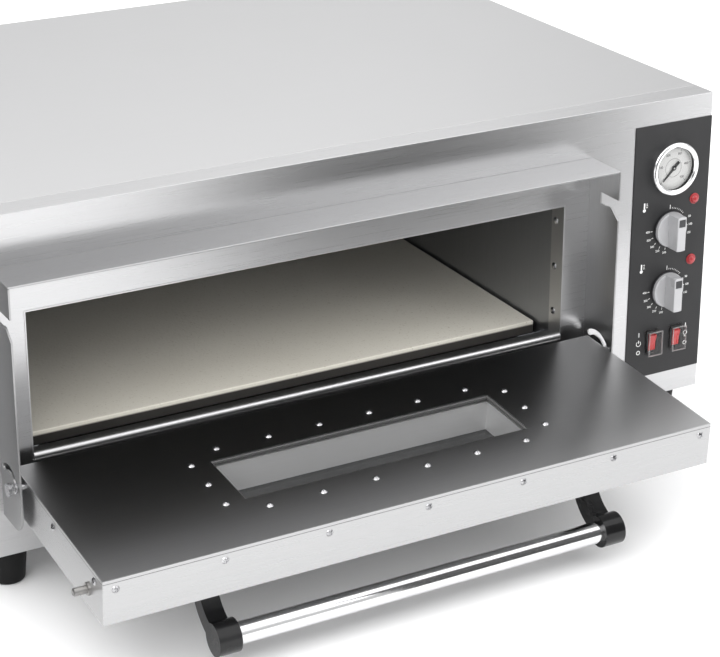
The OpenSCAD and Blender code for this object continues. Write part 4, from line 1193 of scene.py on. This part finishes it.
@dataclass
class Switches:
    """The two rocker switches under their clear covers, and the marks beside them."""

    bench: Bench
    mark_offsets: tuple[tuple[str, float], ...] = (("power", -18.5 * MM), ("lamp", 15.0 * MM))

    def build(self) -> None:
        """Builds both switches."""
        bench = self.bench
        for kind in ("power", "lamp"):
            bench.dressed(bench.reworked(f"{kind}_switch_housing", 0.6 * MM, 3), "black_moulding", "oven",
                          "black_plastic")
            bench.dressed(bench.reworked(f"{kind}_switch_cover", 1.2 * MM, 4), "splash_cover", "oven", "switch_cover")
            bench.dressed(bench.reworked(f"{kind}_rocker", 0.5 * MM, 3), "rocker_red", f"{kind}_rocker_body",
                          "red_lens")
            self.cover_rim(kind)
        self.marks()

    def cover_rim(self, kind: str) -> None:
        """Builds the thick moulded edge round the front of a switch cover, in a pale, half-opaque finish that paints
        the highlight along a clear cover's edge.

        Args:
            kind: The switch, power or lamp.
        """
        bench = self.bench
        low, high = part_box(f"{kind}_switch_cover")
        width, depth, slack = 1.1 * MM, 1.6 * MM, 0.1 * MM
        front = low.y + slack
        rim = bench.brick(f"{kind}_cover_rim", (low.x + slack, front, low.z + slack),
                          (high.x - slack, front + depth, high.z - slack), 0.4 * MM, 2)
        rim = bench.carved(rim, bench.brick("mouth", (low.x + width, front - depth, low.z + width),
                                            (high.x - width, front + 2 * depth, high.z - width)))
        # The rim's pale finish is a painted highlight along the cover's edge.
        bench.dressed(rim, "painted_cover_highlight", "oven", "switch_cover")

    def marks(self) -> None:
        """Prints a bar for on and a ring for off beside each switch, with a power sign and a lamp sign."""
        bench = self.bench
        depth = PRINT_DEPTH
        for kind, offset in self.mark_offsets:
            spot = centre_of(f"{kind}_switch_housing")
            pieces = [bench.brick("bar", (-0.5 * MM, 8.6 * MM, 0.0), (0.5 * MM, 14 * MM, depth)),
                      bench.placed(self.ring(2.7 * MM, 0.9 * MM, depth), Matrix.Translation((0, -11.5 * MM, 0)))]
            if kind == "power":
                pieces += [self.open_ring(3.4 * MM, depth),
                           bench.brick("stem", (-0.45 * MM, 0.6 * MM, 0.0), (0.45 * MM, 4.4 * MM, depth))]
            else:
                pieces += [bench.placed(self.ring(3.0 * MM, 0.8 * MM, depth), Matrix.Translation((0, 1.4 * MM, 0))),
                           bench.brick("cap", (-1.3 * MM, -3.9 * MM, 0.0), (1.3 * MM, -2.2 * MM, depth))]
            face = on_overlay(spot.x + offset, spot.z)
            bench.dressed(bench.placed(bench.joined(f"{kind}_marks", pieces), face), "panel_ink", "oven", "dial",
                          angle=20)

    def ring(self, radius: float, width: float, depth: float) -> bpy.types.Object:
        """Makes a flat ring."""
        return self.bench.turned("ring", [(radius, 0.0), (radius, depth), (radius - width, depth),
                                          (radius - width, 0.0)], 32)

    def open_ring(self, radius: float, depth: float) -> bpy.types.Object:
        """Makes the power sign's ring, open at its top."""
        line = [(x, y, depth / 2) for x, y in arc(0.0, 0.0, radius - 0.3 * MM, 125, 415, 24)]
        return self.bench.placed(self.bench.stroke("open_ring", line, 0.42 * MM, False, 8),
                                 Matrix.Diagonal((1, 1, 0.45, 1)))


@dataclass
class ControlPanel:
    """The overlay with its indicator lamps and signs, and the parts behind it."""

    bench: Bench
    lens: float = 6.5 * MM
    sign_offset: float = 71 * MM

    def build(self) -> None:
        """Builds the panel."""
        bench = self.bench
        bench.dressed(bench.reworked("control_overlay", 0.3 * MM, 2), "panel_film", "oven", "overlay")
        for node in ("indicator_upper", "indicator_lower"):
            spot = centre_of(node)
            face = on_overlay(spot.x, spot.z)
            rim = bench.turned(node + "_rim", [
                (self.lens, 0.0), (self.lens, 0.9 * MM), (self.lens - 0.5 * MM, 1.3 * MM),
                (self.lens - 1.2 * MM, 1.3 * MM), (self.lens - 1.2 * MM, 0.0)], 48)
            bench.dressed(bench.placed(rim, face), "lens_red", "oven", "red_lens")
            r = self.lens - 1.0 * MM
            dome = [(r * math.cos(a), 0.6 * MM + 4.4 * MM * math.sin(a))
                    for a in (math.radians(90 * i / 9) for i in range(9))]
            lens = bench.turned(node + "_lens", [(0.0, 0.0), (r, 0.0), *dome, (0.0, 5 * MM)], 48)
            stem = bench.cylinder("stem", 5 * MM, -21 * MM, 0.1 * MM, 32)
            whole = bench.joined(node + "_lens", [lens, stem])
            bench.dressed(bench.placed(whole, face), "lens_red", "oven", "red_lens", [node], 50)
            self.heat_sign(node + "_sign", spot)
        for node in ("thermostat_upper", "thermostat_lower"):
            bench.painted(node, "bright_zinc")

    def heat_sign(self, name: str, spot: Vector) -> None:
        """Prints a small thermometer sign to the left of a knob.

        Args:
            name: The piece's name.
            spot: The indicator's middle.
        """
        bench = self.bench
        depth = PRINT_DEPTH
        stem = bench.brick("stem", (-0.9 * MM, -2 * MM, 0.0), (0.9 * MM, 6 * MM, depth))
        bulb = bench.cylinder("bulb", 2.1 * MM, 0.0, depth, 24)
        bench.placed(bulb, Matrix.Translation((0, -3 * MM, 0)))
        waves = [bench.brick("wave", (2.6 * MM, z, 0.0), (4.6 * MM, z + 0.7 * MM, depth))
                 for z in (0.0, 2.2 * MM, 4.4 * MM)]
        place = on_overlay(spot.x - self.sign_offset, spot.z - 0.5 * MM)
        whole = bench.joined(name, [stem, bulb, *waves])
        bench.dressed(bench.placed(whole, place), "panel_ink", "oven", "dial", angle=20)


# ---------------------------------------------------------------- studio


@dataclass
class Studio:
    """The sky, the floor, the reflection cards, the soft lights and the camera."""

    place: Triple = (-1.017, -2.058, 1.114)
    yaw: float = 28.63
    pitch: float = 20.53
    lens: float = 104.7
    rise: float = -0.139
    floor: Triple = (0.97, 0.97, 0.97)
    sky: tuple[tuple[float, float], ...] = ((0.0, 0.55), (0.30, 0.42), (0.62, 0.95), (1.0, 1.25))
    sky_strength: float = 1.42
    flags: tuple[tuple[Triple, Triple, float, float], ...] = (
        ((0.05, -0.80, 0.0), (0.75, -0.80, 0.50), 0.03, 0.34), ((-0.56, -0.50, 0.0), (-0.56, 0.46, 0.36), 0.20, 0.20))
    lamps: list[tuple[Triple, Triple, float, float]] = field(default_factory=lambda: [
        ((-2.6, -2.2, 2.6), (0.0, 0.0, 0.2), 3.0, 75.0),
        ((2.2, -2.6, 1.6), (0.0, -0.1, 0.2), 2.0, 28.0),
        ((0.3, 2.2, 3.2), (0.0, 0.1, 0.4), 3.6, 45.0),
    ])

    def build(self) -> None:
        """Builds the studio."""
        bpy.context.scene.view_settings.view_transform = "Standard"
        self.world()
        self.ground()
        self.cards()
        self.light()
        self.camera()

    def world(self) -> None:
        """Sets a plain sky that is brighter overhead than round the horizon."""
        world = bpy.data.worlds.new("studio_sky")
        bpy.context.scene.world = world
        world.use_nodes = True
        tree = world.node_tree
        tree.nodes.clear()
        output = tree.nodes.new("ShaderNodeOutputWorld")
        sky = tree.nodes.new("ShaderNodeBackground")
        coords = tree.nodes.new("ShaderNodeTexCoord")
        split = tree.nodes.new("ShaderNodeSeparateXYZ")
        ramp = tree.nodes.new("ShaderNodeValToRGB")
        band = ramp.color_ramp.elements
        for _ in range(2):
            band.new(0.5)
        for element, (spot, shade) in zip(band, self.sky):
            element.position = spot
            element.color = (shade, shade, shade * 1.005, 1.0)
        tree.links.new(coords.outputs["Generated"], split.inputs["Vector"])
        tree.links.new(split.outputs["Z"], ramp.inputs["Fac"])
        tree.links.new(ramp.outputs["Color"], sky.inputs["Color"])
        tree.links.new(sky.outputs["Background"], output.inputs["Surface"])
        sky.inputs["Strength"].default_value = self.sky_strength

    def ground(self) -> None:
        """Lays a wide pale floor."""
        deselect()
        bpy.ops.mesh.primitive_plane_add(size=40.0, location=(0.0, 0.0, -0.0002))
        ground = bpy.context.object
        ground.name = "studio_floor"
        board = NodeBoard("studio_floor")
        cloud = board.noise(board.mapped((1.0, 1.0, 1.0)), 0.8, 2.0)
        board.link(board.ramp(cloud, [(0.3, self.floor), (0.7, tuple(1.01 * c for c in self.floor))]),
                   board.shader.inputs["Base Color"])
        board.set(Roughness=0.9, Specular_IOR_Level=0.1)
        ground.data.materials.append(board.material)

    def cards(self) -> None:
        """Stands a card in front and one to the left, which only reflections see."""
        for i, (low, high, dim, bright) in enumerate(self.flags):
            deselect()
            bpy.ops.mesh.primitive_plane_add(size=1.0)
            card = bpy.context.object
            card.name = f"studio_card_{i}"
            facing_side = high[0] == low[0]
            card.scale = (max(high[0] - low[0], high[1] - low[1]), high[2] - low[2], 1.0)
            card.rotation_euler = (math.radians(90), 0.0, math.radians(90 if facing_side else 0))
            card.location = tuple((a + b) / 2 for a, b in zip(low, high))
            bpy.ops.object.transform_apply(location=True, rotation=True, scale=True)
            board = NodeBoard(card.name)
            cloud = board.noise(board.mapped((1.0, 1.0, 1.0)), 2.0, 2.0)
            split = board.tree.nodes.new("ShaderNodeSeparateXYZ")
            board.link(board.coords, split.inputs["Vector"])
            shades = (board.ramp(split.outputs["X"],
                                 [(0.0, (shade,) * 3), (0.4, (shade,) * 3), (0.75, (bright,) * 3)])
                      for shade in (dim, dim + 0.02))
            board.link(board.mixed(cloud, *shades), board.shader.inputs["Base Color"])
            board.set(Roughness=0.9)
            card.data.materials.append(board.material)
            card.visible_camera = card.visible_shadow = card.visible_diffuse = False

    def light(self) -> None:
        """Hangs the soft lamps."""
        for i, (place, aim, size, power) in enumerate(self.lamps):
            lamp = bpy.data.lights.new(f"softbox_{i}", "AREA")
            lamp.size, lamp.energy = size, power
            holder = bpy.data.objects.new(f"softbox_{i}", lamp)
            bpy.context.scene.collection.objects.link(holder)
            holder.location = place
            holder.rotation_mode = "QUATERNION"
            holder.rotation_quaternion = (Vector(aim) - Vector(place)).to_track_quat("-Z", "Y")

    def camera(self) -> None:
        """Sets the camera in front of the oven's left side, looking down a little."""
        eye = bpy.data.cameras.new("studio_camera")
        eye.lens, eye.sensor_width, eye.shift_y = self.lens, 36.0, self.rise
        holder = bpy.data.objects.new("studio_camera", eye)
        bpy.context.scene.collection.objects.link(holder)
        holder.location = self.place
        holder.rotation_euler = (math.radians(90 - self.pitch), 0.0, math.radians(-self.yaw))
        bpy.context.scene.camera = holder


def main() -> None:
    """Builds the oven and its studio."""
    logging.basicConfig(level=logging.INFO, format="%(name)s %(message)s")
    bench = Bench(Palette())
    for part in (Casing(bench), Collar(bench), Chamber(bench), Door(bench), ControlPanel(bench),
                 Thermometer(bench), Knobs(bench), Switches(bench), Studio()):
        part.build()
        log.info("%s done", type(part).__name__)
    bpy.context.view_layer.update()


if __name__ == "__main__":
    main()
